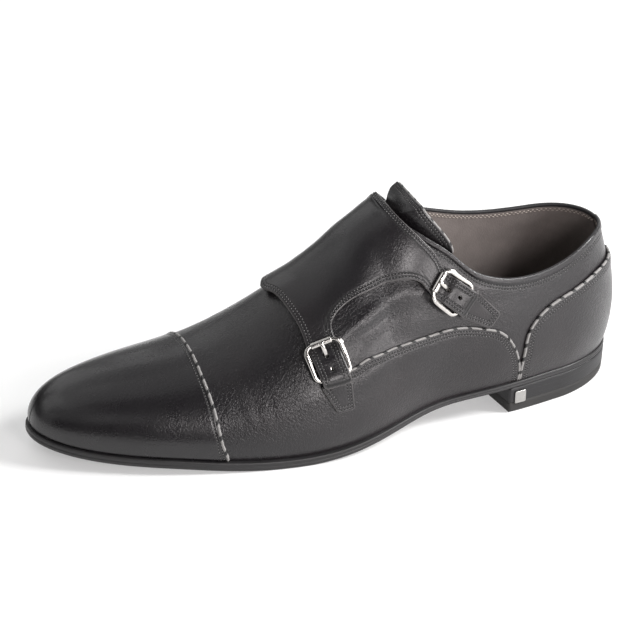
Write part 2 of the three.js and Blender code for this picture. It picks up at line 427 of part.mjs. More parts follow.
for (const m of MAPS) {
  const put = (u, v, h, w, hh) => ({ o: m.at(u, v, h), up: m.at(u, v, h + 1).sub(m.at(u, v, h)), w, h: hh });
  const half = FRAME_WIDTH / 2 - FRAME_WIRE / 2, level = u => lerp(TOP_H, HINGE_H, smooth((u - 1) / (HINGE_AT - 1)));
  // frame: roller bar, rounded corner, arm, corner, hinge bar and back
  const R = 4.2, R2 = 3.2, N = 4;
  const bar = 0.8, arm = FRAME_WIRE / 2, hinge = 0.9;
  // round trip: +v corner at the roller, +v arm, hinge, -v arm, -v corner at the roller
  const pts = [];
  const arc = (cu, cv, r, a0, a1, w0, w1) => { for (let i = 0; i <= N; i++) { const a = lerp(a0, a1, i / N); pts.push([cu + r * Math.cos(a), cv + r * Math.sin(a), lerp(w0, w1, i / N)]); } };
  pts.push([0, -3.2, bar], [0, 0, bar], [0, 3.2, bar]);
  arc(R, half - R, R, Math.PI, Math.PI / 2, bar, arm);
  pts.push([HINGE_AT / 2, half, arm]);
  arc(HINGE_AT - R2, half - R2, R2, Math.PI / 2, 0, arm, hinge);
  pts.push([HINGE_AT, 3, hinge], [HINGE_AT, -3, hinge]);
  arc(HINGE_AT - R2, -half + R2, R2, 0, -Math.PI / 2, hinge, arm);
  pts.push([HINGE_AT / 2, -half, arm]);
  arc(R, -half + R, R, -Math.PI / 2, -Math.PI, arm, bar);
  add(`buckle_frame_${m.name}`, sweep(pts.map(([u, v, w]) => put(u, v, level(u), w, Math.min(w, 1.0))), circle(8), true), MATERIAL.metal);
  // roller: a tube turning on the frame's bar
  {
    const O = m.at(0, 0, TOP_H), X = m.at(0, 3, TOP_H).sub(m.at(0, -3, TOP_H)).normalize();
    const lenR = 2 * (half - R) + 1.6, prof = [[1.15, -lenR / 2], [ROLLER_RADIUS, -lenR / 2], [ROLLER_RADIUS, lenR / 2], [1.15, lenR / 2], [1.15, -lenR / 2]].map(([x, y]) => new THREE.Vector2(x, y));
    const g0 = new THREE.LatheGeometry(prof, 14); g0.deleteAttribute('normal'); g0.deleteAttribute('uv');
    const vs = [], tr = [], seg = 14;
    for (let i = 0; i < seg; i++) { const a = 2 * Math.PI * i / seg; for (let j = 0; j < 4; j++) vs.push(new THREE.Vector3(prof[j].x * Math.cos(a), prof[j].y, prof[j].x * Math.sin(a))); }
    for (let i = 0; i < seg; i++) for (let j = 0; j < 4; j++) { const k = (i + 1) % seg, l = (j + 1) % 4; tr.push([i * 4 + j, i * 4 + l, k * 4 + l], [i * 4 + j, k * 4 + l, k * 4 + j]); }
    const q = new THREE.Quaternion().setFromUnitVectors(new THREE.Vector3(0, 1, 0), X);
    add(`buckle_roller_${m.name}`, geometry(vs.map(v => v.applyQuaternion(q).add(O)), tr), MATERIAL.metal);
  }
  // prong: an open eye round the hinge bar, then under the strap, up through its hole and onto the roller
  {
    const eye = []; const r = 1.6;
    for (let i = 0; i <= 7; i++) { const a = lerp(-150, 150, i / 7) * Math.PI / 180; eye.push([HINGE_AT + r * Math.cos(a), 0, HINGE_H + r * Math.sin(a)]); }
    eye.reverse();
    const line = [...eye.slice(0, 8), [14.2, 0, 1.75], [11, 0, 1.85], [8.2, 0, 2.1], [6.4, 0, 3.2], [4.6, 0, 4.75], [2.6, 0, 5.95], [0.6, 0, 6.7], [-0.9, 0, 6.75]];
    const widths = line.map((_, i) => i < 8 ? [1.0, 0.42] : i === line.length - 1 ? [0.55, 0.4] : [1.05, 0.62]);
    add(`buckle_prong_${m.name}`, sweep(line.map(([u, v, h], i) => ({ o: m.at(u, v, h), up: upAlong(m, line, i), w: widths[i][0], h: widths[i][1] })), circle(8), false), MATERIAL.metal);
  }
  // tab: folded leather that holds the hinge bar, tapering to its stitched end
  {
    const b0 = HINGE_AT, r0 = 1.2, r1 = 2.15, h0 = GAP, hT = 2.3, end = 36;
    const prof = [];                        // outline in (u, h), anticlockwise, with the bar's channel as an open slot from below
    const N2 = 8;
    prof.push([31.5, h0], [end, h0], [end, hT], [31.5, hT], [27, hT], [b0 + 4.2, hT]);
    for (let i = 0; i <= N2; i++) { const a = lerp(40, 265, i / N2) * Math.PI / 180; prof.push([b0 + r1 * Math.cos(a), HINGE_H + r1 * Math.sin(a)]); }
    for (let i = 0; i <= N2; i++) { const a = lerp(260, 10, i / N2) * Math.PI / 180; prof.push([b0 + r0 * Math.cos(a), HINGE_H + r0 * Math.sin(a)]); }
    prof.push([b0 + 1.5, HINGE_H - 0.9], [b0 + 0.9, 0.62], [b0 + 1.2, h0], [22.5, h0], [27, h0]);
    const widthAt = (u, k) => k * (u < b0 + 2.6 ? 5.0 : u < b0 + 4.4 ? 7.7 : lerp(7.7, 4.6, (u - b0 - 4.4) / (end - b0 - 4.4)));
    const shape = prof.map(([u, h]) => new THREE.Vector2(u, h));
    const faces = THREE.ShapeUtils.triangulateShape(shape, []);
    const cols = [-1, -0.24, 0.24, 1];
    const make = (ks) => {
      const vs = [], tr = [], n = prof.length;
      ks.forEach(k => prof.forEach(([u, h]) => vs.push(m.at(u, typeof k === 'number' ? widthAt(u, k) : k.v, h))));
      for (let c = 0; c + 1 < ks.length; c++) for (let i = 0; i < n; i++) { const j = (i + 1) % n; tr.push([c * n + i, c * n + j, (c + 1) * n + j], [c * n + i, (c + 1) * n + j, (c + 1) * n + i]); }
      const forward = faces.some(f => [0, 1, 2].some(k => f[(k + 1) % 3] === (f[k] + 1) % n)), o = (ks.length - 1) * n;
      for (const f of faces) { const [a, b, c] = forward ? f : [f[0], f[2], f[1]]; tr.push([a, c, b], [o + a, o + b, o + c]); }
      const g = geometry(vs, tr); return g;
    };
    let g = make(cols);
    // slot for the prong
    const slot = new THREE.BufferGeometry(); const sv = [], st2 = [];
    const boxAt = (u, v, h) => m.at(u, v, h);
    for (const u of [b0 - 3.4, b0 + 2.6]) for (const v of [-1.5, 1.5]) for (const h of [-0.6, 6.2]) sv.push(boxAt(u, v, h));
    st2.push([0, 1, 3], [0, 3, 2], [4, 6, 7], [4, 7, 5], [0, 4, 5], [0, 5, 1], [2, 3, 7], [2, 7, 6], [0, 2, 6], [0, 6, 4], [1, 5, 7], [1, 7, 3]);
    const A = toSolid(positive(g)), B = toSolid(positive(geometry(sv, st2)));
    add(`buckle_tab_${m.name}`, fromSolid(A.subtract(B)), MATERIAL.leather);
  }
}
function upAlong(m, line, i) {
  // the prong's thickness direction, in the plane of its path
  const a = line[Math.max(0, i - 1)], b = line[Math.min(line.length - 1, i + 1)], p = line[i];
  const du = b[0] - a[0], dh = b[2] - a[2], l = Math.hypot(du, dh) || 1;
  return m.at(p[0] + dh / l, 0, p[2] - du / l).sub(m.at(p[0], 0, p[2]));
}

// ---------- origin: bottom centre of the whole shoe's box ----------
shoe.updateMatrixWorld(true);
const box = new THREE.Box3().setFromObject(shoe, true), c = box.getCenter(new THREE.Vector3());
shoe.position.set(-c.x, -c.y, -box.min.z);
shoe.updateMatrixWorld(true);
export default shoe;
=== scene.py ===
# Double monk strap shoe, cap toe, left foot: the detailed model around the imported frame.
# Every surface comes from the same form function (the last) as the solids; sizes in mm until a mesh is made.
import bpy, math, json
import numpy as np
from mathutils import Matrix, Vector

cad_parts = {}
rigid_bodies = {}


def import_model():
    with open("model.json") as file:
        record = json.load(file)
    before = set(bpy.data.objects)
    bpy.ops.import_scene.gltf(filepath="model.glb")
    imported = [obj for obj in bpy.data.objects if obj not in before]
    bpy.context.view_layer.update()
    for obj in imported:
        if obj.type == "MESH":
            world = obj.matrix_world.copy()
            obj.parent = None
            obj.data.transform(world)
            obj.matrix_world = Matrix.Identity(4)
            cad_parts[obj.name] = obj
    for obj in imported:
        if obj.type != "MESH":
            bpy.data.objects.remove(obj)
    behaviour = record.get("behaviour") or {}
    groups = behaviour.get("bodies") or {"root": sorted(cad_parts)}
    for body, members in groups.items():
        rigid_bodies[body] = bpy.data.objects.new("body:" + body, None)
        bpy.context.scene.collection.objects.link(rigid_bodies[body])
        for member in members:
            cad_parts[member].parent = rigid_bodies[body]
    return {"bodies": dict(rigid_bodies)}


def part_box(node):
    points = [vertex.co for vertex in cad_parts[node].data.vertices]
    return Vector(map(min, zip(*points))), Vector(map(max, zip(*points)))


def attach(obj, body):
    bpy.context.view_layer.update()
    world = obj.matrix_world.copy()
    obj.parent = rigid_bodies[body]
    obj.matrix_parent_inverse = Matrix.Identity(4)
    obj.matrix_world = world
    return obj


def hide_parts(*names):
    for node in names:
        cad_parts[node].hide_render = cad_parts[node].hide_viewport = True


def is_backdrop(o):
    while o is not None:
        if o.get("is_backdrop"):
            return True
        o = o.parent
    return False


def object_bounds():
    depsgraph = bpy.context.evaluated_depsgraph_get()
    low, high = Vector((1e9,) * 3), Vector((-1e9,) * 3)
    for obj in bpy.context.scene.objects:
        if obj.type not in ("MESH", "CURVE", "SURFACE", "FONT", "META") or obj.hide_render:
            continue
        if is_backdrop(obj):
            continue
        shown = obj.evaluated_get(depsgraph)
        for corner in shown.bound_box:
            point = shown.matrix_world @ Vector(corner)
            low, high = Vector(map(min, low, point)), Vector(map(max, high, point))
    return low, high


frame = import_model()
CAD_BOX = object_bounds()
BODY = list(frame["bodies"])[0] if frame["bodies"] else "root"

# ------------------------------------------------------------------ the last
L = 305.0
COLS = "s wl wm zf zr yr g al am kl km cl cm psi".split()
FORM = np.array([
 [0, 25.1, 30.1, 16.8, 97.9, -0.1, 22, 22.7, 18.0, .38, .38, .28, .30, 80],
 [35, 30.2, 30.8, 17.7, 100.4, -0.1, 23, 17.5, 14.1, .38, .38, .30, .30, 80],
 [75, 34.8, 29.3, 16.7, 107.0, 0.9, 22, 16.6, 8.4, .36, .36, .30, .29, 70],
 [110, 34.0, 26.4, 13.0, 111.6, 2.2, 11, 16.2, 6.3, .34, .34, .40, .39, 42],
 [135, 40.6, 28.1, 9.2, 104.1, 3.3, 0, 18.0, 6.1, .34, .34, .55, .55, 0],
 [160, 45.9, 32.0, 5.9, 87.5, 4.1, 0, 20.0, 10.0, .34, .34, .60, .60, 0],
 [190, 46.1, 40.0, 4.7, 67.4, 3.8, 0, 22.0, 16.0, .34, .36, .62, .62, 0],
 [220, 41.8, 43.7, 5.8, 51.1, 3.9, 0, 18.0, 15.9, .36, .40, .66, .66, 0],
 [250, 35.1, 38.0, 8.1, 44.1, 5.0, 0, 14.0, 13.9, .40, .42, .70, .70, 0],
 [280, 28.6, 29.7, 10.0, 38.9, 6.0, 0, 12.0, 12.5, .44, .44, .70, .71, 0],
 [305, 27.4, 24.9, 14.2, 30.3, 7.0, 0, 12.0, 14.1, .46, .46, .70, .71, 0]], float)
E = dict(Rh=37.5, ph=2.0, Rt=57.7, pt=2.25, s0=9.0, Rg=30.0, pg=2.2, sc=150.0, se=21.7, sb=75.0, ytoe=11.9, yheel=2.0, stoe=150.0)
TOPLINE = np.array([[0, .805, .805], [10, .79, .795], [19, .755, .782], [31, .698, .76], [43, .650, .742], [56, .622, .728], [68, .617, .728],
  [79, .636, .742], [88, .677, .763], [93, .722, .776], [98, .770, .792], [103.5, .811, .815], [108, .840, .842], [114, .884, .884], [118, .914, .916], [122, .950, .950], [125.5, .980, .980], [128, 1, 1]], float)
THROAT = 128.0
WALL = 2.5

def natural(xs, ys):
    n = len(xs); h = np.diff(xs); A = np.zeros((n, n)); r = np.zeros(n); A[0, 0] = A[-1, -1] = 1
    for i in range(1, n - 1):
        A[i, i-1] = h[i-1]; A[i, i] = 2*(h[i-1] + h[i]); A[i, i+1] = h[i]
        r[i] = 6*((ys[i+1]-ys[i])/h[i] - (ys[i]-ys[i-1])/h[i-1])
    m = np.linalg.solve(A, r)
    def f(x, d=0):
        x = np.asarray(x, float); i = np.clip(np.searchsorted(xs, x) - 1, 0, n - 2)
        a = xs[i+1] - x; b = x - xs[i]; k = h[i]
        if d: return (-m[i]*a**2 + m[i+1]*b**2)/(2*k) - (ys[i]/k - m[i]*k/6) + (ys[i+1]/k - m[i+1]*k/6)
        return (m[i]*a**3 + m[i+1]*b**3)/(6*k) + (ys[i]/k - m[i]*k/6)*a + (ys[i+1]/k - m[i+1]*k/6)*b
    return f
F = {c: natural(FORM[:, 0], FORM[:, i]) for i, c in enumerate(COLS) if i}
top_l, top_m = natural(TOPLINE[:, 0], TOPLINE[:, 1]), natural(TOPLINE[:, 0], TOPLINE[:, 2])
smooth = lambda x: (lambda u: u*u*(3-2*u))(np.clip(x, 0, 1))
def bell(x, w): return np.exp(-(x/w)**2)

def end(u, p): return (1 - (1 - np.clip(u, 0, 1))**p)**(1/p)
def centre(s):
    u = np.clip((s - E['stoe'])/(L - E['stoe']), 0, None); v = np.clip((90 - s)/90, 0, None)
    return E['ytoe']*u**2 + E['yheel']*v
def pick(side, a, b): return np.where(side < 0, a, b)
def width(s, side): return pick(side, F['wl'](s), F['wm'](s))*end(s/E['Rh'], E['ph'])*end((L - s)/E['Rt'], E['pt'])
def feather(s, side): return np.stack(np.broadcast_arrays(s, centre(s) + side*width(s, side), F['zf'](s)), -1)
def guide(s, side):
    q = np.where(s < E['sc'], E['s0'] + s*(1 - E['s0']/E['sc']), s)
    u = np.clip((s - (L - E['sb']))/E['sb'], 0, None); q = q - E['se']*u**2
    g = F['g'](q)*end((q - E['s0'])/E['Rg'], E['pg']); k = 4.0*smooth((q - 60)/50)*smooth((158 - q)/14); g = np.where(q > 158, 0, .5*(g + np.sqrt(g*g + k*k)))
    return np.stack(np.broadcast_arrays(q, centre(q) + F['yr'](q)*np.clip(q/60, 0, 1) + side*g, F['zr'](q)), -1), F['zr'](q, 1)
def form(s, t, side):
    s, t, side = np.broadcast_arrays(np.clip(np.asarray(s, float), 0, L), np.asarray(t, float), np.asarray(side, float))
    A = feather(s, side); D, sl = guide(s, side)
    d2 = D[..., :2] - A[..., :2]; d = np.linalg.norm(d2, axis=-1) + 1e-9; e = d2/d[..., None]
    a = np.radians(pick(side, F['al'](s), F['am'](s))); k = pick(side, F['kl'](s), F['km'](s)); c = pick(side, F['cl'](s), F['cm'](s))
    psi = np.radians(np.clip(F['psi'](s), 0, 90)); H = D[..., 2] - A[..., 2]
    B = A + np.stack([-e[..., 0]*np.sin(a)*k*H, -e[..., 1]*np.sin(a)*k*H, np.cos(a)*k*H], -1)
    h = c*(d*np.cos(psi) + H*0.9*np.sin(psi))
    C = D - np.stack([e[..., 0]*np.cos(psi)*h, e[..., 1]*np.cos(psi)*h, (np.sin(psi) + np.cos(psi)*sl*e[..., 0])*h], -1)
    t = t[..., None]; q = 1 - t
    p = q**3*A + 3*q*q*t*B + 3*q*t*t*C + t**3*D
    return np.stack([L/2 - p[..., 0], p[..., 1], p[..., 2]], -1)
def unit(v): return v/(np.linalg.norm(v, axis=-1)[..., None] + 1e-12)
def side_normal(s, t, side):
    s0, s1, t0, t1 = np.clip(s - .04, 0, L), np.clip(s + .04, 0, L), np.clip(t - 1e-3, 0, 1), np.clip(t + 1e-3, 0, 1)
    return unit(np.cross(form(s1, t, side) - form(s0, t, side), form(s, t1, side) - form(s, t0, side))*side[..., None])
def normal(s, t, side):
    s, t, side = [np.array(v, float) for v in np.broadcast_arrays(s, t, side)]
    s = np.clip(s, 0, L); seam = (s < 1e-5) | (s > L - 1e-4) | (t > 1 - 1e-6)
    t = np.minimum(t, 1 - .035*smooth((s - (L - 9))/8))          # ridge and seam run the same way at the very tip
    n = side_normal(s, t, side)
    n = np.where(seam[..., None], unit(n + side_normal(s, t, -side)), n)
    flat = unit(n*np.array([1, 1, 0.])); k = np.clip(1 - t/0.02, 0, 1)[..., None]
    return unit(n*(1 - k) + flat*k)
# creases, placed one by one: station, girth, side, half run along the foot, half run up the girth, tilt (mm of station
# per unit girth), depth (- trough, + ridge)
CREASES = np.array([
 [206, .47, -1, 2.2, .20, 9, -.17], [209.8, .50, -1, 2.4, .20, 9, .12], [213.4, .42, -1, 2.0, .16, 7, -.12], [199.5, .40, -1, 2.6, .15, 10, -.14], [202.8, .42, -1, 2.4, .16, 10, .10],
 [207, .50, 1, 2.2, .20, 8, -.16], [203, .45, 1, 2.4, .18, 8, .11], [198, .42, 1, 2.6, .16, 9, -.14],
 [145, .545, -1, 17, .034, 0, 1.35], [121, .578, -1, 10, .036, -120, 1.0], [146, .480, -1, 17, .030, 0, -.45], [138, .330, -1, 30, .042, 20, .95], [100, .352, -1, 16, .04, 20, .5],
 [97, .63, -1, 7, .035, -40, -.35], [86, .56, -1, 9, .05, -60, .25], [72, .50, -1, 10, .05, -70, -.22], [134, .50, -1, 14, .06, 30, -.3], [118, .45, -1, 12, .05, -30, .22],
 [30, .62, -1, 9, .05, 10, -.25], [26, .62, 1, 9, .05, 10, -.25], [80, .60, 1, 9, .05, 30, -.3], [110, .55, 1, 12, .06, 20, -.25]])
def crease(s, t, side):
    d = 0
    for cs, ct, sd, ws, wt, tilt, depth in CREASES:
        d = d + np.where(side == sd, depth*bell(s - cs - tilt*(t - ct), ws)*bell(t - ct, wt), 0)
    return d
def off(s, t, side, d):
    s, t, side = [np.array(v, float) for v in np.broadcast_arrays(s, t, side)]
    return form(s, t, side) + normal(s, t, side)*(d + crease(s, t, side))[..., None]
def W(s, w, d=0.0):      # signed girth: w -1 lateral feather, 0 ridge, +1 medial feather
    s, w = np.broadcast_arrays(np.asarray(s, float), np.asarray(w, float))
    return off(s, 1 - np.abs(w), np.where(w > 0, 1.0, -1.0), d)
def R(r, t, d=0.0):      # signed station around the heel: r < 0 lateral
    r, t = np.broadcast_arrays(np.asarray(r, float), np.asarray(t, float))
    return off(np.abs(r), t, np.where(r > 0, 1.0, -1.0), d)
def Wn(s, w): return normal(s, 1 - np.abs(w), np.where(np.asarray(w) > 0, 1.0, -1.0))
def Rn(r, t): return normal(np.abs(r), t, np.where(np.asarray(r) > 0, 1.0, -1.0))

# ------------------------------------------------------------------ outsole outline, also used to find the frame's shift
SOLE = np.array([[0, 3.4, 1.2], [75, 3.2, 1.2], [100, 3.2, 1.3], [150, 4.3, 2.0], [185, 4.9, 2.2], [215, 4.9, 2.2], [260, 4.6, 2.2], [305, 4.6, 2.2]], float)
sole_thick = lambda s: np.interp(s, SOLE[:, 0], SOLE[:, 1]); sole_edge = lambda s: np.interp(s, SOLE[:, 0], SOLE[:, 2])
def seat(s): return F['zf'](np.clip(s, 0, L)) + np.where(s > L, (s - L)*F['zf'](L, 1), 0)
sole_bottom = lambda s: np.maximum(0, seat(s) - sole_thick(s))
def outline(d, rungs):
    """ring of (s, y) around the feather, pushed out by d(s): down the lateral side, back along the medial side"""
    def at(s, side):
        h = .05; side = np.full_like(s, side)
        a = feather(np.clip(s-h, 0, L), side); b = feather(np.clip(s+h, 0, L), side); t = unit((b - a)[:, :2]); p = feather(s, side)
        return np.stack([p[:, 0] - side*t[:, 1]*d(s), p[:, 1] + side*t[:, 0]*d(s)], -1)
    one = lambda x: float(np.ravel(d(np.array([x])))[0])
    return np.concatenate([[[-one(0.), centre(0.)]], at(rungs, -1.), [[L + one(L), centre(L)]], at(rungs[::-1], 1.)])
RUNGS_CAD = np.array([0.6, 2.5, 6, 11, 17, 24, 32, 41, 51, 61, 72, 84, 96, 108, 120, 132, 144, 156, 168, 180, 192, 204, 216, 228, 240, 251, 262, 272, 281, 289, 295, 300, 303.2, 304.6])
_o = outline(lambda s: sole_edge(s) + .05, RUNGS_CAD)
_lo, _hi = [np.array(v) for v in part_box("outsole")]
SHIFT = np.array([(_lo[0] + _hi[0])/2*1000 - (L/2 - (_o[:, 0].min() + _o[:, 0].max())/2), (_lo[1] + _hi[1])/2*1000 - (_o[:, 1].min() + _o[:, 1].max())/2, 0])

# ------------------------------------------------------------------ mesh helpers
import bmesh
PIECES = []
def mesh(name, verts, faces, mats, index=None, uv=None, attr=None, weld=True, normals=True, smooth_shade=True):
    me = bpy.data.meshes.new(name)
    me.from_pydata(((np.asarray(verts, float) + SHIFT)*.001).tolist(), [], [list(map(int, f)) for f in faces])
    if uv is not None:
        lay = me.uv_layers.new(name="along"); ids = np.empty(len(me.loops), int); me.loops.foreach_get("vertex_index", ids)
        lay.data.foreach_set("uv", np.asarray(uv, float)[ids].ravel())
    for k, a in (attr or {}).items(): me.attributes.new(k, "FLOAT", "POINT").data.foreach_set("value", np.asarray(a, np.float32).ravel())
    for m in (mats if isinstance(mats, (list, tuple)) else [mats]): me.materials.append(m)
    if index is not None: me.polygons.foreach_set("material_index", np.asarray(index, int))
    me.polygons.foreach_set("use_smooth", np.full(len(me.polygons), smooth_shade))
    ob = bpy.data.objects.new(name, me); bpy.context.collection.objects.link(ob)
    if weld or normals:
        bm = bmesh.new(); bm.from_mesh(me)
        if weld: bmesh.ops.remove_doubles(bm, verts=bm.verts, dist=3e-6); bmesh.ops.dissolve_degenerate(bm, edges=bm.edges, dist=1e-8)
        if normals: bmesh.ops.recalc_face_normals(bm, faces=bm.faces)
        bm.to_mesh(me); bm.free()
    me.update(); PIECES.append(ob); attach(ob, BODY)
    return ob
def grid_faces(n, m, base=0, flip=False, wrap=False):
    """quads of an n x m grid; wrap joins its last row to its first"""
    i, j = np.meshgrid(np.arange(n if wrap else n-1), np.arange(m-1), indexing='ij'); k = (i + 1) % n
    q = np.stack([base + i*m + j, base + k*m + j, base + k*m + j+1, base + i*m + j+1], -1).reshape(-1, 4)
    return q[:, ::-1] if flip else q
def shell_grid(out, inn, walls=(1, 1, 1, 1)):
    """outer and inner skins (n x m x 3) with walls on first row, last row, first column, last column"""
    n, m = out.shape[:2]; v = np.concatenate([out.reshape(-1, 3), inn.reshape(-1, 3)]); o = n*m
    f = [grid_faces(n, m), grid_faces(n, m, o, True)]; r = np.arange
    for on, ids, flip in ((walls[0], r(m), 0), (walls[1], (n-1)*m + r(m), 1), (walls[2], r(n)*m, 1), (walls[3], r(n)*m + m-1, 0)):
        if on:
            a, b = ids[:-1], ids[1:]; q = np.stack([a, b, b + o, a + o], -1); f.append(q if flip else q[:, ::-1])
    k = [np.full(len(x), min(i, 2)) for i, x in enumerate(f)]
    return v, np.concatenate(f), np.concatenate(k)      # third: 0 outer skin, 1 inner skin, 2 walls
def arc_len(P): return np.concatenate([np.zeros(P.shape[:-2] + (1,)), np.cumsum(np.linalg.norm(np.diff(P, axis=-2), axis=-1), -1)], -1)
def resample(P, step=None, n=None, extra=()):
    d = arc_len(P); n = n or max(2, int(round(d[-1]/step)) + 1); x = np.linspace(0, d[-1], n)
    f = lambda A: np.stack([np.interp(x, d, A[:, k]) for k in range(A.shape[1])], 1)
    return (f(P), x) + tuple(f(A) for A in extra)
def curve2(pts, chart, step, fine=40):
    """smooth curve through points of a chart, resampled to an even step on the surface"""
    pts = np.array(pts, float); d = np.concatenate([[0], np.cumsum(np.linalg.norm(np.diff(chart(pts[:, 0], pts[:, 1], 0), axis=0), axis=1) + 1e-6)])
    x = np.linspace(0, d[-1], fine*len(pts)); a, b = natural(d, pts[:, 0])(x), natural(d, pts[:, 1])(x)
    q = arc_len(chart(a, b, 0)); n = int(round(q[-1]/step)) + 1; y = np.linspace(0, q[-1], n)
    return np.stack([np.interp(y, q, a), np.interp(y, q, b)], 1)
def inward(chart, V, sign):
    """direction in the chart, per mm on the surface, square to the curve V"""
    a, b = V[:, 0], V[:, 1]; ea, eb = .05, .001
    Pa = (chart(a + ea, b, 0) - chart(a - ea, b, 0))/(2*ea); Pb = (chart(a, b + eb, 0) - chart(a, b - eb, 0))/(2*eb)
    T = np.gradient(chart(a, b, 0), axis=0); x, y = -(Pb*T).sum(1), (Pa*T).sum(1)
    n = np.linalg.norm(Pa*x[:, None] + Pb*y[:, None], axis=1) + 1e-9
    return np.stack([x/n, y/n], 1)*sign

ROW1, ROW2 = 1.5, 3.1        # the two rows of stitches, from a panel's free edge
EDGE = np.array([0, .05, .14, .28, .46, .75, 1.05, 1.28, ROW1, 1.72, 1.95, 2.3, 2.65, 2.88, ROW2, 3.32, 3.55, 4.1, 5.0, 6.2])
def edge_profile(d, lip=.45, drop=.45, groove=.15, rows=(ROW1, ROW2), width=.3):
    """height lost near a free edge: a rounded lip, then the grooves the stitches pull in"""
    u = np.clip(1 - d/lip, 0, 1); h = -drop*(1 - np.sqrt(np.clip(1 - u*u, 0, 1)))
    for r in rows: h = h - groove*bell(d - r, width)
    return h
class Panel: pass
def panel(name, chart, chart_n, V, B, out, inn, mats, sign=1, mid=2.4, keep=None, down=None, rows=(ROW1, ROW2), groove=.15, walls=(1, 1, 1, 1), lip=.45, edge=EDGE, reach=7.0, inner_lip=0.0, zone=None, make=True):
    """panel between a free edge V and a far edge B (points of a chart, one pair for each column).
    keep: 1 where V is a free edge, 0 where it is an inside line; down: 1 where columns simply run straight to B"""
    n = len(V); D = inward(chart, V, sign); keep = np.ones(n) if keep is None else keep
    if down is not None:
        a = V + (B - V)*.02; l = np.linalg.norm(chart(a[:, 0], a[:, 1], 0) - chart(V[:, 0], V[:, 1], 0), axis=1) + 1e-9
        D = D*(1 - down)[:, None] + (a - V)/l[:, None]*down[:, None]
    k = np.linspace(0, 1, 90)[None, :, None]
    straight = np.linalg.norm(chart(V[:, 0], V[:, 1], 0) - chart(B[:, 0], B[:, 1], 0), axis=1)
    m = np.minimum(reach, .45*straight)[:, None]; C = V + D*m; M = C*.55 + B*.45
    seg = (1-k)**3*V[:, None] + 3*(1-k)**2*k*C[:, None] + 3*(1-k)*k**2*M[:, None] + k**3*B[:, None]
    d = arc_len(chart(seg[..., 0], seg[..., 1], 0)); ell = d[:, -1]; nm = max(3, int(np.ceil((ell.max() - edge[-1])/mid)))
    G = []
    for i in range(n):
        e = edge*min(1, .6*ell[i]/edge[-1]); x = np.concatenate([e, np.linspace(e[-1], ell[i], nm + 1)[1:]])
        G.append([np.interp(x, d[i], seg[i, :, 0]), np.interp(x, d[i], seg[i, :, 1]), x])
    G = np.array(G); A0, A1, X = G[:, 0], G[:, 1], G[:, 2]
    h = edge_profile(X, lip=lip, drop=lip, rows=rows, groove=groove)*keep[:, None]
    o = (out(A0, A1, X) if callable(out) else np.full(X.shape, out)) + h
    q = inn(A0, A1, X) if callable(inn) else np.full(X.shape, inn)
    if inner_lip: q = q + inner_lip*(1 - np.sqrt(np.clip(1 - np.clip(1 - X/inner_lip, 0, 1)**2, 0, 1)))*keep[:, None]
    q = np.minimum(q, o - .1)
    Po, Pi, N = chart(A0, A1, o), chart(A0, A1, q), chart_n(A0, A1)
    p = Panel(); p.Po, p.Pi, p.N, p.X, p.V, p.D, p.A0, p.A1, p.o, p.q, p.chart, p.chart_n, p.keep = Po, Pi, N, X, V, D, A0, A1, o, q, chart, chart_n, keep
    v, f, part = shell_grid(Po, Pi, walls)
    e = np.where(keep[:, None] > .5, X, 9.0)
    p.data = (v, f, part, np.concatenate([e.ravel(), e.ravel()]))
    if make: p.ob = mesh(name, v, f, mats, index=part if isinstance(mats, (list, tuple)) and len(mats) > 1 else None, attr={"rim": p.data[3]})
    def line(dist, lift=0.0, inner=False, only=None):
        """points and normals along the free edge at a distance from it; negative distances lie outside the panel"""
        ids = np.arange(n)[(keep > .5)] if only is None else np.arange(n)[only]
        S = Pi if inner else Po; sg = -1 if inner else 1
        if dist >= 0:
            P = np.array([[np.interp(dist, X[i], S[i, :, c]) for c in range(3)] for i in ids]); Q = np.array([[np.interp(dist, X[i], N[i, :, c]) for c in range(3)] for i in ids])*sg
        else:
            q2 = V[ids] + D[ids]*dist; P = chart(q2[:, 0], q2[:, 1], 0); Q = chart_n(q2[:, 0], q2[:, 1])
        Q = unit(Q); return P + Q*lift, Q
    p.line = line; return p
def join_panels(name, list_, mats):
    v, f, k, e, o = [], [], [], [], 0
    for p in list_:
        a, b, c, d = p.data; v.append(a); f.append(b + o); k.append(c); e.append(d); o += len(a)
    return mesh(name, np.concatenate(v), np.concatenate(f), mats, index=np.concatenate(k) if isinstance(mats, (list, tuple)) and len(mats) > 1 else None, attr={"rim": np.concatenate(e)})

def stitches(into, P, N, pitch=1.62, length=.82, rad=.25, lift=.0, span=(0, 1), phase=0.0):
    """short raised stitches in a row along a line"""
    Q, x, M = resample(P, step=.2, extra=(N,)); n = int(x[-1]//pitch)
    for a in (np.arange(n) + .5 + phase)*pitch + (x[-1] - n*pitch)/2:
        if a > x[-1] - length/2: continue
        if not span[0] <= a/x[-1] <= span[1]: continue
        xs = a + np.array([-.5, -.36, 0, .36, .5])*length; prof = np.array([.35, .9, 1.0, .9, .35]); dip = np.array([-.22, 0, .07, 0, -.22])
        p = np.stack([np.interp(xs, x, Q[:, k]) for k in range(3)], 1); m = unit(np.stack([np.interp(xs, x, M[:, k]) for k in range(3)], 1))
        t = unit(np.gradient(p, axis=0)); b = np.cross(t, m); an = np.arange(6)*np.pi/3
        into.append(p[:, None] + m[:, None]*(lift + dip[:, None, None]) + (b[:, None]*np.cos(an)[None, :, None] + m[:, None]*np.sin(an)[None, :, None])*(rad*prof)[:, None, None])
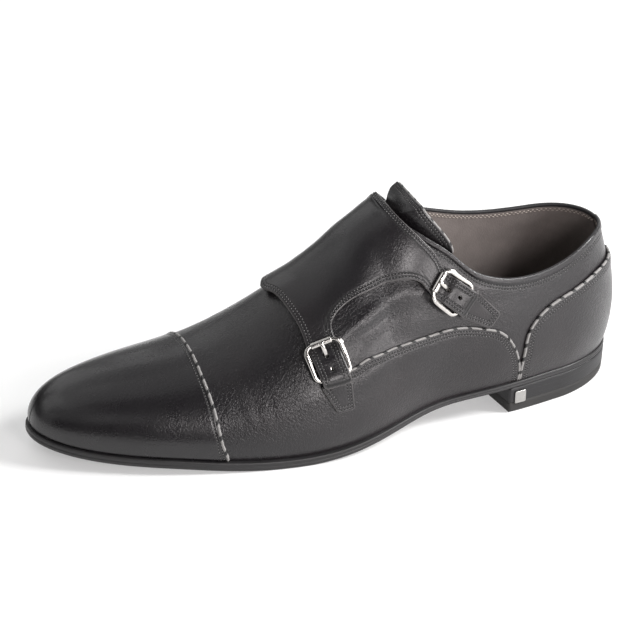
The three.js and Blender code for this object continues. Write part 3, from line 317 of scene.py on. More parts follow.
def flush(name, into, mat):
    n, m = 5, 6; a = np.array(into); c = len(a)
    ring = np.array([[i*m + j, i*m + (j+1) % m, (i+1)*m + (j+1) % m, (i+1)*m + j] for i in range(n-1) for j in range(m)])
    caps = [[j for j in range(m)][::-1], [(n-1)*m + j for j in range(m)]]
    f = (ring[None] + (np.arange(c)*n*m)[:, None, None]).reshape(-1, 4).tolist() + [[q + o for q in b] for o in np.arange(c)*n*m for b in caps]
    return mesh(name, a.reshape(-1, 3), f, mat, weld=False)
def tube(name, P, N, rad, mat, step=.42, seg=10, taper=1.2, bulge=.05, period=7.9, make=True):
    """round cord along a line; uv = mm along it, turn round it"""
    Q, x, M = resample(P, step=step, extra=(N,)); t = unit(np.gradient(Q, axis=0)); M = unit(M - t*(M*t).sum(1)[:, None]); b = np.cross(t, M)
    an = np.arange(seg)*2*np.pi/seg; r = rad*(1 + bulge*np.cos(2*(an[None] + 2*np.pi*x[:, None]/period)))
    if taper: r = r*np.clip(np.minimum(x, x[-1] - x)/taper, .05, 1)[:, None]**.5
    V = Q[:, None] + (b[:, None]*np.cos(an)[None, :, None] + M[:, None]*np.sin(an)[None, :, None])*r[..., None]; n = len(Q)
    f = [[i*seg + j, i*seg + (j+1) % seg, (i+1)*seg + (j+1) % seg, (i+1)*seg + j] for i in range(n-1) for j in range(seg)] + [list(range(seg))[::-1], [(n-1)*seg + j for j in range(seg)]]
    uv = np.stack([np.repeat(x, seg), np.tile(an/(2*np.pi), n)], 1)
    return mesh(name, V.reshape(-1, 3), f, mat, uv=uv, weld=False)
def sweep(name, C, U, wid, hei, mat, closed=False, seg=24, power=2.0, caps=True):
    """rod along centres C with up vectors U and half sizes; its section is a superellipse"""
    C, U = np.asarray(C, float), np.asarray(U, float); t = (np.roll(C, -1, 0) - np.roll(C, 1, 0)) if closed else np.gradient(C, axis=0)
    t = unit(t); U = unit(U - t*(U*t).sum(1)[:, None]); w = np.cross(U, t); an = (np.arange(seg) + .5)*2*np.pi/seg
    sp = lambda c: np.sign(c)*np.abs(c)**(2/power)
    V = C[:, None] + w[:, None]*sp(np.cos(an))[None, :, None]*np.broadcast_to(wid, len(C))[:, None, None] + U[:, None]*sp(np.sin(an))[None, :, None]*np.broadcast_to(hei, len(C))[:, None, None]
    n = len(C); f = [[i*seg + j, i*seg + (j+1) % seg, ((i+1) % n)*seg + (j+1) % seg, ((i+1) % n)*seg + j] for i in range(n if closed else n-1) for j in range(seg)]
    if not closed and caps: f += [list(range(seg))[::-1], [(n-1)*seg + j for j in range(seg)]]
    return mesh(name, V.reshape(-1, 3), f, mat, weld=False)

# ------------------------------------------------------------------ materials
def material(name, color, rough=.5, metallic=0.0, spec=.5, coat=0.0, coat_rough=.2, sheen=0.0):
    m = bpy.data.materials.new(name); m.use_nodes = True; nt = m.node_tree; b = nt.nodes["Principled BSDF"]
    b.inputs["Base Color"].default_value = (*color, 1); b.inputs["Roughness"].default_value = rough; b.inputs["Metallic"].default_value = metallic
    b.inputs["Specular IOR Level"].default_value = spec; b.inputs["Coat Weight"].default_value = coat; b.inputs["Coat Roughness"].default_value = coat_rough
    if sheen: b.inputs["Sheen Weight"].default_value = sheen; b.inputs["Sheen Roughness"].default_value = .4
    return m, nt, b
class Nodes:
    def __init__(s, nt): s.nt = nt; s.obj = s.new("ShaderNodeTexCoord").outputs["Object"]
    def new(s, kind, **kw):
        n = s.nt.nodes.new(kind)
        for k, v in kw.items(): setattr(n, k, v)
        return n
    def link(s, a, b): s.nt.links.new(a, b)
    def put(s, v, sock):
        if hasattr(v, "is_output"): s.link(v, sock)
        else: sock.default_value = v
    def noise(s, scale, detail=3, rough=.5, vec=None, dist=0.0):
        n = s.new("ShaderNodeTexNoise"); n.inputs["Scale"].default_value = scale; n.inputs["Detail"].default_value = detail; n.inputs["Roughness"].default_value = rough; n.inputs["Distortion"].default_value = dist
        s.link(vec or s.obj, n.inputs["Vector"]); return n.outputs["Fac"]
    def voronoi(s, scale, feature="F1", vec=None, out="Distance", rand=1.0):
        n = s.new("ShaderNodeTexVoronoi", feature=feature); n.inputs["Scale"].default_value = scale; n.inputs["Randomness"].default_value = rand; s.link(vec or s.obj, n.inputs["Vector"]); return n.outputs[out]
    def math(s, op, a, b=0.0, c=None, clamp=False):
        n = s.new("ShaderNodeMath", operation=op, use_clamp=clamp); s.put(a, n.inputs[0]); s.put(b, n.inputs[1])
        if c is not None: s.put(c, n.inputs[2])
        return n.outputs[0]
    def ramp(s, f, stops):
        n = s.new("ShaderNodeValToRGB"); r = n.color_ramp
        while len(r.elements) < len(stops): r.elements.new(.5)
        for e, (p, c) in zip(r.elements, stops): e.position = p; e.color = (*c, 1) if len(c) == 3 else c
        s.link(f, n.inputs["Fac"]); return n.outputs["Color"]
    def span(s, f, a, b, c, d):
        n = s.new("ShaderNodeMapRange"); s.put(f, n.inputs["Value"])
        for k, v in zip(("From Min", "From Max", "To Min", "To Max"), (a, b, c, d)): s.put(v, n.inputs[k])
        return n.outputs["Result"]
    def mix(s, f, a, b, kind="MIX"):
        n = s.new("ShaderNodeMix", data_type="RGBA", blend_type=kind); s.put(f, n.inputs[0])
        for v, k in ((a, 6), (b, 7)): s.put((*v, 1) if isinstance(v, tuple) and len(v) == 3 else v, n.inputs[k])
        return n.outputs[2]
    def attr(s, name): n = s.new("ShaderNodeAttribute", attribute_name=name); return n.outputs["Fac"]
    def bump(s, h, dist, strength=1.0, normal=None):
        n = s.new("ShaderNodeBump"); n.inputs["Strength"].default_value = strength; n.inputs["Distance"].default_value = dist; s.link(h, n.inputs["Height"])
        if normal is not None: s.link(normal, n.inputs["Normal"])
        return n.outputs["Normal"]
def leather(name, base=(.0095, .0082, .0098), warm=(.0170, .0136, .0150), edge=(.060, .056, .056), rough=(.25, .38), grain=1.3, coat=.12, coat_rough=.18, rows=(ROW1, ROW2), spec=.5):
    """smooth box calf: fine pores and hair wrinkles, uneven depth of black, paler at cut edges (rubbed wear plus a
    painted edge highlight), painted shade in the grooves where the stitches pull in
    """
    m, nt, b = material(name, base, coat=coat, coat_rough=coat_rough, spec=spec); n = Nodes(nt)
    big = n.noise(14, 3, .55); mid = n.noise(75, 4, .6); rim = n.attr("rim")
    col = n.mix(n.span(big, .38, .66, 0, 1), base, warm); col = n.mix(n.span(mid, .35, .7, 0, .4), col, tuple(x*.55 for x in base))
    pores = n.voronoi(1250, "SMOOTH_F1"); fine = n.noise(2300, 3, .6); wr = n.voronoi(560, "DISTANCE_TO_EDGE")
    col = n.mix(n.span(pores, .05, .55, .35, 0), col, (.003, .003, .003))
    # paler cut edges: partly rubbed wear, partly a painted highlight along the edge
    cut = n.math("MULTIPLY", n.span(rim, .08, .66, 1, 0), n.span(mid, .3, .7, .5, 1)); col = n.mix(cut, col, edge)
    # painted shade: the base colour is made near black along the two stitch rows, where the stitches pull the leather
    # in
    seam = n.span(n.math("ABSOLUTE", n.math("SUBTRACT", rim, rows[0])), .26, .5, 1, 0); seam = n.math("MAXIMUM", seam, n.span(n.math("ABSOLUTE", n.math("SUBTRACT", rim, rows[1])), .26, .5, 1, 0))
    col = n.mix(seam, col, (.0012, .0012, .0012)); n.link(col, b.inputs["Base Color"])
    r = n.span(n.math("ADD", n.math("MULTIPLY", mid, .6), n.math("MULTIPLY", big, .4)), .35, .65, rough[0], rough[1]); r = n.math("ADD", r, n.math("MULTIPLY", cut, .08)); r = n.math("ADD", r, n.math("MULTIPLY", seam, .4), clamp=True)
    n.link(r, b.inputs["Roughness"])
    patch = n.span(n.noise(32, 2, .5), .35, .65, .45, 1)
    h = n.math("ADD", n.math("MULTIPLY", pores, .55), n.math("MULTIPLY", fine, .35)); h = n.math("ADD", h, n.math("MULTIPLY", n.span(wr, 0, .12, 0, 1), .3)); h = n.math("MULTIPLY", h, patch)
    nb = n.bump(h, .00015*grain, 1.0); gr = n.noise(1050, 2, .55); nb = n.bump(gr, .00016*grain, .8, nb); soft = n.noise(420, 3, .6); nb = n.bump(soft, .00016*grain, .6, nb); wave = n.noise(48, 2, .5); nb = n.bump(wave, .0006, .25, nb)
    n.link(nb, b.inputs["Normal"]); return m
CALF = leather("calf_upper"); CALF_QUARTER = leather("calf_quarter", rows=(4.35, 5.95), edge=(.02, .019, .02)); CALF_CAP = leather("calf_cap", rough=(.24, .34), grain=.6, coat=.2, coat_rough=.17, warm=(.0125, .0115, .0125)); CALF_FLAP = leather("calf_flap", rough=(.27, .38), grain=.7, edge=(.10, .093, .091))
def lining_material():
    m, nt, b = material("taupe_lining", (.15, .125, .115), .62, spec=.35); n = Nodes(nt)
    big = n.noise(22, 3, .6); mid = n.noise(160, 4, .6); col = n.mix(n.span(big, .35, .68, 0, 1), (.215, .188, .176), (.160, .138, .130)); col = n.mix(n.span(mid, .4, .72, 0, .3), col, (.12, .102, .096)); col = n.mix(n.span(n.attr("rim"), 1.5, 1.75, 1, 0), col, (.018, .017, .018))
    n.link(col, b.inputs["Base Color"]); pores = n.voronoi(1300, "SMOOTH_F1"); n.link(n.span(mid, .3, .7, .52, .7), b.inputs["Roughness"])
    n.link(n.bump(n.math("ADD", pores, n.math("MULTIPLY", mid, .8)), .00008, .8, n.bump(big, .0006, .3)), b.inputs["Normal"]); return m
LINING = lining_material()
def sole_material(name, base, pale, rough=(.38, .55), lines=0.0, coat=0.0):
    m, nt, b = material(name, base, .5, coat=coat, coat_rough=.3); n = Nodes(nt)
    big = n.noise(30, 4, .6); fine = n.noise(900, 4, .65); sep = n.new("ShaderNodeSeparateXYZ"); n.link(n.obj, sep.inputs[0])
    col = n.mix(n.span(big, .35, .7, 0, 1), base, pale)
    if lines:                                      # stacked layers and the marks of the edge iron
        z = n.math("MULTIPLY", sep.outputs[2], 1000.0); z = n.math("ADD", z, n.math("MULTIPLY", big, .25))
        w = n.math("ABSOLUTE", n.math("SUBTRACT", n.math("FRACT", n.math("DIVIDE", z, lines)), .5)); line = n.span(w, 0, .045, 1, 0); col = n.mix(n.math("MULTIPLY", line, .6), col, (.003, .003, .003))
    scratch = n.new("ShaderNodeMapping"); scratch.inputs["Scale"].default_value = (60, 60, 1400); n.link(n.obj, scratch.inputs["Vector"]); sc = n.noise(1.0, 4, .6, scratch.outputs[0])
    col = n.mix(n.span(sc, .55, .75, 0, .35), col, tuple(x*1.7 for x in pale)); n.link(col, b.inputs["Base Color"])
    n.link(n.span(n.math("ADD", n.math("MULTIPLY", sc, .5), n.math("MULTIPLY", big, .5)), .35, .65, *rough), b.inputs["Roughness"])
    h = n.math("ADD", n.math("MULTIPLY", sc, .5), n.math("MULTIPLY", fine, .3)); nb = n.bump(h, .00007, .7)
    if lines: nb = n.bump(n.math("MULTIPLY", line, -1.0), .0001, .5, nb)
    n.link(nb, b.inputs["Normal"]); return m
SOLE_MAT = sole_material("sole_black", (.009, .0085, .009), (.0165, .0155, .0165), coat=.05)
HEEL_MAT = sole_material("heel_black", (.0065, .006, .007), (.0115, .0108, .012), rough=(.42, .55), lines=3.1)
TREAD = sole_material("tread_black", (.012, .012, .012), (.03, .028, .027), rough=(.6, .8))
def nickel(name="polished_nickel", rough=(.13, .22), brushed=False):
    m, nt, b = material(name, (.52, .50, .48) if brushed else (.60, .58, .555), .1, 1.0); n = Nodes(nt)
    big = n.noise(120, 3, .6); mp = n.new("ShaderNodeMapping"); mp.inputs["Scale"].default_value = (900, 900, 5200 if brushed else 1800); n.link(n.obj, mp.inputs["Vector"]); hair = n.noise(1.0, 3, .6, mp.outputs[0])
    n.link(n.mix(n.span(big, .35, .7, 0, 1), *(((.47, .46, .445), (.38, .37, .36)) if brushed else ((.62, .60, .575), (.50, .48, .46)))), b.inputs["Base Color"]); n.link(n.span(n.math("ADD", n.math("MULTIPLY", big, .5), n.math("MULTIPLY", hair, .5)), .35, .65, *rough), b.inputs["Roughness"])
    n.link(n.bump(hair, .00002 if brushed else .000001, .5 if brushed else .15, n.bump(big, .00004, .12)), b.inputs["Normal"]); return m
NICKEL = nickel(); BRUSHED = nickel("brushed_steel", (.24, .38), True)
def thread(name, color, pale, rough=.45):
    m, nt, b = material(name, color, rough, spec=.6); n = Nodes(nt); w = n.new("ShaderNodeTexWave", wave_type="BANDS", bands_direction="DIAGONAL"); w.inputs["Scale"].default_value = 1500; w.inputs["Distortion"].default_value = 2.0; n.link(n.obj, w.inputs["Vector"])
    f = w.outputs["Fac"]; nz = n.noise(700, 2, .5); n.link(n.mix(n.math("MULTIPLY", f, n.span(nz, .35, .65, .2, 1)), color, pale), b.inputs["Base Color"]); n.link(n.span(nz, .3, .7, rough - .1, rough + .15), b.inputs["Roughness"]); n.link(n.bump(f, .00005, .8), b.inputs["Normal"]); return m
THREAD_DARK = thread("thread_black", (.075, .071, .072), (.21, .20, .20), .36); THREAD_LIGHT = thread("thread_beige", (.36, .31, .27), (.52, .46, .41), .6)
def cord_material():
    """two tone twisted cord: long pale turns between short black ones"""
    m, nt, b = material("twisted_cord", (.4, .4, .4), .5); n = Nodes(nt); uv = n.new("ShaderNodeUVMap", uv_map="along"); sep = n.new("ShaderNodeSeparateXYZ"); n.link(uv.outputs[0], sep.inputs[0]); nz = n.noise(420, 2, .5)
    x = n.math("ADD", n.math("DIVIDE", sep.outputs[0], 7.9), n.math("MULTIPLY", sep.outputs[1], .32)); x = n.math("ADD", x, n.math("MULTIPLY", nz, .12)); f = n.math("FRACT", x); band = n.math("MULTIPLY", n.span(f, .0, .03, 0, 1), n.span(f, .72, .76, 1, 0))
    fib = n.new("ShaderNodeMath", operation="SINE"); s2 = n.math("ADD", n.math("MULTIPLY", sep.outputs[0], 9.0), n.math("MULTIPLY", sep.outputs[1], 25.13)); n.link(s2, fib.inputs[0]); fb = n.span(fib.outputs[0], -1, 1, 0, 1)
    pale = n.mix(fb, (.17, .164, .160), (.31, .30, .292)); n.link(n.mix(band, (.010, .0098, .010), pale), b.inputs["Base Color"]); n.link(n.span(nz, .3, .7, .38, .6), b.inputs["Roughness"])
    n.link(n.bump(fb, .00008, .7, n.bump(n.math("ABSOLUTE", n.math("SUBTRACT", f, .63)), .0002, .4)), b.inputs["Normal"]); return m
CORD_MAT = cord_material()

# ------------------------------------------------------------------ pieces: uppers
THREADS, LIGHT = [], []
QUARTER, VAMP, CAPH, COUNTER = -.95, -.1, .62, .5     # outer faces above the form
def side_chart(side):
    sd = float(side)
    return (lambda s, t, d=0.0: off(s, t, sd, d)), (lambda s, t: normal(s, t, sd))
def HC(a, t, d=0.0): return off(np.asarray(a)**2, t, np.where(np.asarray(a) > 0, 1.0, -1.0), d)      # heel chart, a = signed root of the station
def HCn(a, t): return normal(np.asarray(a)**2, t, np.where(np.asarray(a) > 0, 1.0, -1.0))
def TC(b, w, d=0.0): return off(L - np.asarray(b)**2, 1 - np.abs(w), np.where(np.asarray(w) > 0, 1.0, -1.0), d)   # toe chart
def TCn(b, w): return normal(L - np.asarray(b)**2, 1 - np.abs(w), np.where(np.asarray(w) > 0, 1.0, -1.0))
def topg(s, side): return np.where(s >= THROAT, 1.0, np.minimum(1, (top_l if side < 0 else top_m)(s)))
_x = (1 - np.cos(np.linspace(0, np.pi, 6000)))*L/2; _d = arc_len(feather(_x, -1.0))
COLS_S = np.interp(np.linspace(0, _d[-1], 176), _d, _x)

# quarters and the hidden base under the other panels, with the lining
base = []
for sd in (-1, 1):
    ch, cn = side_chart(sd); s = COLS_S; V = np.stack([s, topg(s, sd)], 1); B = np.stack([s, np.zeros_like(s)], 1)
    fold = lambda a, b, x: QUARTER + .62*smooth((3.9 - x)/1.1)*(a < THROAT)
    p = panel(f"quarter_{sd}", ch, cn, V, B, fold, -WALL, None, sign=-1, keep=(s < THROAT - .5)*1.0, down=np.ones_like(s), rows=(4.35, 5.95), lip=1.0, inner_lip=.85,
              walls=(0, 0, 1, 0), edge=np.array([0, .06, .16, .32, .55, .8, 1.1, 1.6, 2.3, 2.9, 3.3, 3.7, 4.1, 4.35, 4.6, 5.1, 5.6, 5.95, 6.3, 6.9, 8.2]), make=False)
    base.append(p)
    vis = (s < THROAT - 2)
    for r in (4.35, 5.95): P, N = p.line(r, only=vis); stitches(THREADS, P, N, lift=-.02)
    for r, o_ in ((2.9, 0), (3.9, .5)): P, N = p.line(r, inner=True, only=vis); stitches(LIGHT, P, N, pitch=2.3, length=1.35, rad=.24, lift=.02, phase=o_)
quarters = join_panels("quarters_and_lining", base, [CALF_QUARTER, LINING, LINING]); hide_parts("upper")

# vamp: its piped edge climbs from the waist, runs along the quarter and goes under the straps
EDGE_V = [(63.4, 0), (64.2, .076), (66.5, .171), (70.5, .263), (76.3, .328), (83.6, .357), (95.6, .386), (108.2, .388), (121.1, .373), (133.5, .365), (143.2, .378), (150.9, .390), (158.7, .392), (163.5, .43), (168, .52), (171.5, .64), (174.8, .82), (177, 1)]
vamps = []
for sd in (-1, 1):
    ch, cn = side_chart(sd); V = curve2(EDGE_V, ch, 1.6); V[:, 1] = np.clip(V[:, 1], 0, 1)
    f = np.linspace(0, 1, len(V)); sb = np.interp(f, [0, .12, .35, .8, 1], [69, 78, 100, 158, 177]); s2 = np.arange(178.6, 231.9, 1.7)
    Vv = np.concatenate([V, np.stack([s2, np.ones_like(s2)], 1)]); B = np.concatenate([np.stack([sb, 0*sb], 1), np.stack([s2, 0*s2], 1)])
    keep = np.concatenate([np.ones(len(V)), np.zeros(len(s2))]); down = np.concatenate([smooth((V[:, 0] - (162 if sd < 0 else 172))/5), np.ones(len(s2))])
    thin = lambda a, b, x: np.full(np.shape(a), VAMP)
    p = panel(f"vamp_{sd}", ch, cn, Vv, B, thin, QUARTER + .05, None, sign=-1, keep=keep, down=down, walls=(1, 1, 1, 0), make=False); vamps.append(p)
    vis = np.concatenate([V[:, 0] < (166 if sd < 0 else 174.5), np.zeros(len(s2), bool)])
    for r in (ROW1, ROW2): P, N = p.line(r, only=vis); stitches(THREADS, P, N)
    P, N = p.line(-.42, lift=-.22, only=vis); pl = (P, N)
    tube(f"piping_vamp_{'lateral' if sd < 0 else 'medial'}", P, N, .61, CORD_MAT)
vamp = join_panels("vamp", vamps, CALF)

# heel counter
EDGE_C = [(-61.4, 0), (-62.2, .094), (-61.5, .19), (-60, .28), (-54.8, .359), (-46, .422), (-30, .487), (-17, .533), (-6, .548), (0, .55), (6, .548), (17, .533), (30, .487), (46, .422), (54.8, .359), (60, .28), (61.5, .19), (62.2, .094), (61.4, 0)]
pts = [(math.copysign(math.sqrt(abs(r)), r), t) for r, t in EDGE_C]
V = curve2(pts, HC, 1.6); V[:, 1] = np.clip(V[:, 1], 0, 1); f = np.linspace(-1, 1, len(V)); sb = np.sign(f)*np.sqrt(54*np.abs(f)**1.25); B = np.stack([sb, 0*sb], 1)
flare = lambda a, b, x: COUNTER + .55*smooth((9 - x)/9)*smooth(1 - np.abs(a)**2/40)
counter = panel("heel_counter_leather", HC, HCn, V, B, flare, QUARTER + .05, CALF, sign=-1, walls=(1, 1, 1, 0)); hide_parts("heel_counter")
for r in (ROW1, ROW2): P, N = counter.line(r); stitches(THREADS, P, N)
P, N = counter.line(-.42, lift=-.2); tube("piping_counter", P + N*(.35*smooth(1 - np.abs(V[:, 0])**2/40))[:, None], N, .76, CORD_MAT)

# toe cap
cap_edge = lambda t: np.interp(t, [0, .10, .25, .39, .52, .64, .70, 1], [221, 222.6, 224.1, 224.7, 225.3, 226.0, 226.4, 226.5])
w = np.linspace(-1, 1, 401); w = w[np.abs(w) <= 1]; P0 = W(cap_edge(1 - np.abs(w)), w); d = arc_len(P0); w = np.interp(np.linspace(0, d[-1], int(d[-1]/1.7)), d, w); sv = natural(np.linspace(0, len(w)-1, len(w)), cap_edge(1 - np.abs(w)))
s_e = np.convolve(np.pad(cap_edge(1 - np.abs(w)), 4, mode="edge"), np.hanning(11)[1:-1]/np.hanning(11).sum(), "valid")
V = np.stack([np.sqrt(L - s_e), w], 1); B = np.stack([np.full_like(w, 1e-3), w], 1)
cap = panel("toe_cap_leather", TC, TCn, V, B, CAPH, lambda a, b, x: np.full(np.shape(a), VAMP + .03), CALF_CAP, sign=-1, down=smooth((np.abs(w) - .80)/.15), walls=(1, 1, 1, 0), mid=1.9, reach=5.0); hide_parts("toe_cap")
inn = TC(V[:, 0], V[:, 1], 0); q = TC(V[:, 0] + cap.D[:, 0]*2, V[:, 1] + cap.D[:, 1]*2, 0); ok = (q[:, 0] < inn[:, 0]).mean() > .5
for r in (ROW1, ROW2): P, N = cap.line(r); stitches(THREADS, P, N)
P, N = cap.line(-.42, lift=.3); tube("piping_cap", P, N, .76, CORD_MAT)

# tongue
TT = np.array([[-.30, 97], [-.22, 96], [-.17, 98], [-.10, 102.5], [-.04, 106], [.04, 107], [.12, 105], [.22, 99], [.30, 98]])
w = np.linspace(-.27, .27, 42); tt = natural(TT[:, 0], TT[:, 1])(w); ws = np.stack([tt, w], 1)
def rise(s, w):
    room = np.maximum(1e-3, 1 - np.where(w < 0, topg(s, -1), topg(s, 1)) - .03)
    return -(WALL + .3 + .9) + np.where(room > .002, 8.3*smooth((128 - s)/17)*np.clip(1 - (np.abs(w + .016)/(room + .02))**1.7, 0, 1)**.75, 0)
tongue = panel("tongue_leather", W, Wn, ws, np.stack([np.full_like(w, 152), w*.95], 1), lambda a, b, x: rise(a, b), lambda a, b, x: rise(a, b) - 2.0, [CALF, LINING, CALF], sign=-1, lip=.7)
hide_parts("tongue")
q = W(tongue.V[:, 0] + tongue.D[:, 0]*3, tongue.V[:, 1] + tongue.D[:, 1]*3, 0); print("tongue inward ok", (q[:, 0] < W(tongue.V[:, 0], tongue.V[:, 1], 0)[:, 0]).mean())
vis = np.arange(len(w))[np.abs(w) < .2]
for r in (ROW1 + .1, ROW2 + .1): P, N = tongue.line(r, only=vis); stitches(THREADS, P, N)
P = np.array([tongue.Po[i, 0] - tongue.N[i, 0]*.75 for i in range(len(w))]); N = unit(np.array([tongue.N[i, 0] for i in range(len(w))]))
tip = unit(np.array([tongue.Po[i, 0] - tongue.Po[i, 3] for i in range(len(w))])); tube("piping_tongue", (P + tip*.3)[2:-2], N[2:-2], .68, CORD_MAT)

# ------------------------------------------------------------------ strap and buckle places
STRAP = np.array([[-3, .45], [2.6, .45], [4.9, .8], [7.5, 3.5], [11, 3.5], [14.5, 4.4], [17.6, 5.25], [19.8, 4.8], [21.8, 3.4]])
STRAP_H = np.array([[-3, .45], [0, .45], [2.6, .5], [4.9, 1.35], [7.5, 2.95], [11, 3.7], [14.5, 4.45], [17.6, 5.1], [19.8, 4.75], [21.8, 3.6]])
strap_h = natural(STRAP_H[:, 0], STRAP_H[:, 1]); REACH = 21.8
BUCKLES = dict(upper=((108.5, .630), (92.4, .508), (78.9, .403)), lower=((170.6, .575), (166.8, .381), (163.0, .247)))
class Place:
    def __init__(p, name):
        p.name = name; A, Bq, C = [np.array(x, float) for x in BUCKLES[name]]; pt = lambda q: form(q[0], q[1], -1.0)
        p.ab = np.linalg.norm(pt(A) - pt(Bq)); bc = np.linalg.norm(pt(Bq) - pt(C)); p.A, p.k1, p.k2 = A, (Bq - A)/p.ab, (C - Bq)/bc
        m = (A + Bq)/2; ps = pt(m + [.5, 0]) - pt(m - [.5, 0]); pv = (pt(m + [0, .01]) - pt(m - [0, .01]))/.02
        al = ps*p.k1[0] + pv*p.k1[1]; x, y = -al @ pv, al @ ps; l = np.linalg.norm(ps*x + pv*y); p.x = np.array([x, y])/l; p.flip = 1.0
        if p.at(0, 7, 0)[0] > p.at(0, -7, 0)[0]: p.flip = -1.0
    def st(p, u, v):
        u, v = np.broadcast_arrays(np.asarray(u, float), np.asarray(v, float)); f = np.maximum(0, u - p.ab); g = np.minimum(u, p.ab)
        return p.A[0] + p.k1[0]*g + p.k2[0]*f + p.x[0]*v*p.flip, p.A[1] + p.k1[1]*g + p.k2[1]*f + p.x[1]*v*p.flip
    def at(p, u, v, h):
        s, t = p.st(u, v); return form(s, t, -1.0) + normal(s, t, -1.0)*np.asarray(h, float)[..., None]
PL = {k: Place(k) for k in BUCKLES}

# ------------------------------------------------------------------ monk flap with its straps
FL = np.array([[0, 121.6, 186.0], [.2, 120.9, 182.6], [.4, 118.6, 181.2], [.6, 114.6, 180.0], [.8, 108.9, 178.4], [1, 102.4, 176.8]])
FM = np.array([[0, 121.6, 186.0], [.2, 120.4, 184.2], [.4, 116.4, 182.2], [.6, 111.0, 180.0], [.8, 106.0, 177.6], [1, 101.0, 175.0]])
FLAP_T = 1.7; MED_END = .66
lb, lf, mb, mf = [natural(T[:, 0], T[:, i]) for T in (FL, FM) for i in (1, 2)]
half = np.array([0, .05, .14, .28, .46, .75, 1.05, 1.28, 1.5, 1.72, 1.95, 2.3, 2.65, 2.88, 3.1, 3.32, 3.6, 4.3, 5.1, 5.7, 6.2, 7.0]); VS = np.concatenate([half - 7, -(half[:-1][::-1] - 7)])
nv = len(VS); UJ = -1.5
def J(k, v): return np.stack(PL[k].st(UJ, v), -1)
JA, JB = J("upper", VS), J("lower", VS)
ch_l = side_chart(-1)[0]
cut = curve2([J("upper", 7.0), (117.3, .624), (122, .632), (129, .625), (138.7, .628), (148.3, .6475), (155.3, .652), (160.3, .644), (163.9, .618), J("lower", -7.0)], ch_l, 1.9)
NM = len(cut)
def columns(r):
    """(s, w, share of the row) of every column on row r: -1 medial end, 0 ridge, 1 lateral edge"""
    f = abs(r); back, front = (lb(f), lf(f)) if r > 0 else (mb(f), mf(f)); sd = -1 if r > 0 else 1
    e_l = np.concatenate([JA[:, 1], cut[1:-1, 1], JB[:, 1]]); e = e_l if r > 0 else np.full(len(e_l), MED_END)
    t = 1 - f*(1 - e)
    # mm positions near the two edges
    ks = np.linspace(0, 1, 50); ss = back + (front - back)*ks; tt = np.interp(ks, np.linspace(0, 1, len(e)), t); ln = arc_len(form(ss, tt, float(sd)))
    a = np.interp(VS + 7, ln, ss); b = np.interp(ln[-1] - 7 + VS, ln, ss)
    m = np.interp(arc_len(form(cut[:, 0], cut[:, 1], -1.0))/arc_len(form(cut[:, 0], cut[:, 1], -1.0))[-1], [0, 1], [a[-1], b[0]])[1:-1]
    s = np.concatenate([a, m, b])
    if r > 0:
        full = np.concatenate([JA[:, 0], cut[1:-1, 0], JB[:, 0]]); back1, front1 = lb(1.0), lf(1.0)
        s = s*(1 - f**2.4) + (full)*f**2.4
    w = -(1 - t) if r > 0 else (1 - t)
    return np.stack([s, w, (s - back)/(front - back)], 1)
RC = np.concatenate([np.linspace(-1, -.06, 14), [-.03, 0.0, .03], np.linspace(.06, 1, 18)])
K = np.stack([columns(r) for r in RC], 1)                     # column, row, (s, w, p)
def hh(r, p): f = np.abs(r); return .5 + 1.15*(1 - f)*np.where(r > 0, 1, 1) - .35*(r < 0)*f**4 + 1.5*smooth((p - .78)/.22)*(1 - f**1.6) + 2.3*smooth(1 - p/.72)*(1 - f**1.8)
nc = K.shape[0]; isA = np.arange(nc) < nv; isB = np.arange(nc) >= nc - nv
rows_end = EDGE; US = np.concatenate([np.arange(-.6, REACH - 3.8, .85), REACH - EDGE[::-1][3:]]); US = np.unique(np.round(US, 3))
out_s, out_w, out_h = [], [], []
NR = 58
for c in range(nc):
    s, w, p = K[c].T; lat = w < 0; f_ = np.clip(np.where(lat, -w/.385, w/(1 - MED_END)), 0, 1)      # height from the place on the shoe, so it doesn't bend where columns turn
    bk, fr = np.where(lat, lb(f_), mb(f_)), np.where(lat, lf(f_), mf(f_)); h = hh(np.where(lat, f_, -f_), np.clip((s - bk)/(fr - bk), 0, 1))
    if isA[c] or isB[c]:                                       # straps run on from the body; the join is smoothed along the column
        k = "upper" if isA[c] else "lower"; v = VS[c] if isA[c] else VS[c - (nc - nv)]
        s1, t1 = PL[k].st(US, v); jj = len(s); s = np.concatenate([s, s1]); w = np.concatenate([w, -(1 - t1)]); h = np.concatenate([h, strap_h(US)])
        P = W(s, w, 0); d = arc_len(P); x = np.arange(0, d[-1], .5); f3 = [np.interp(x, d, q) for q in (s, w, h)]; g = np.exp(-(np.arange(-16, 17)/7.0)**2); g /= g.sum()
        sm = [np.convolve(np.pad(q, 16, mode="reflect", reflect_type="odd"), g, "valid") for q in f3]; b = bell(x - d[jj-1], 9.0); f3 = [q*(1-b) + m*b for q, m in zip(f3, sm)]
        s, w, h = [np.interp(d, x, q) for q in f3]; s_b, w_b, h_b = s[:jj], w[:jj], h[:jj]; s_s, w_s, h_s = s[jj:], w[jj:], h[jj:]
    else: s_b, w_b, h_b = s, w, h
    P = W(s_b, w_b, 0); d = arc_len(P); e = EDGE*min(1, d[-1]/40)
    x = np.concatenate([e, np.linspace(e[-1], d[-1] - e[-1], NR - 2*len(e) + 2)[1:-1], (d[-1] - e)[::-1]])
    row = [np.interp(x, d, q) for q in (s_b, w_b, h_b)]
    if isA[c] or isB[c]: row = [np.concatenate([a, b]) for a, b in zip(row, (s_s, w_s, h_s))]
    out_s.append(row[0]); out_w.append(row[1]); out_h.append(row[2])
nb, ns = NR, len(US)
idx = {}; S_, W_, H_, cellsV = [], [], [], []
for c in range(nc):
    for j in range(len(out_s[c])): idx[(c, j)] = len(S_); S_.append(out_s[c][j]); W_.append(out_w[c][j]); H_.append(out_h[c][j])
S_, W_, H_ = map(np.array, (S_, W_, H_)); F4 = []
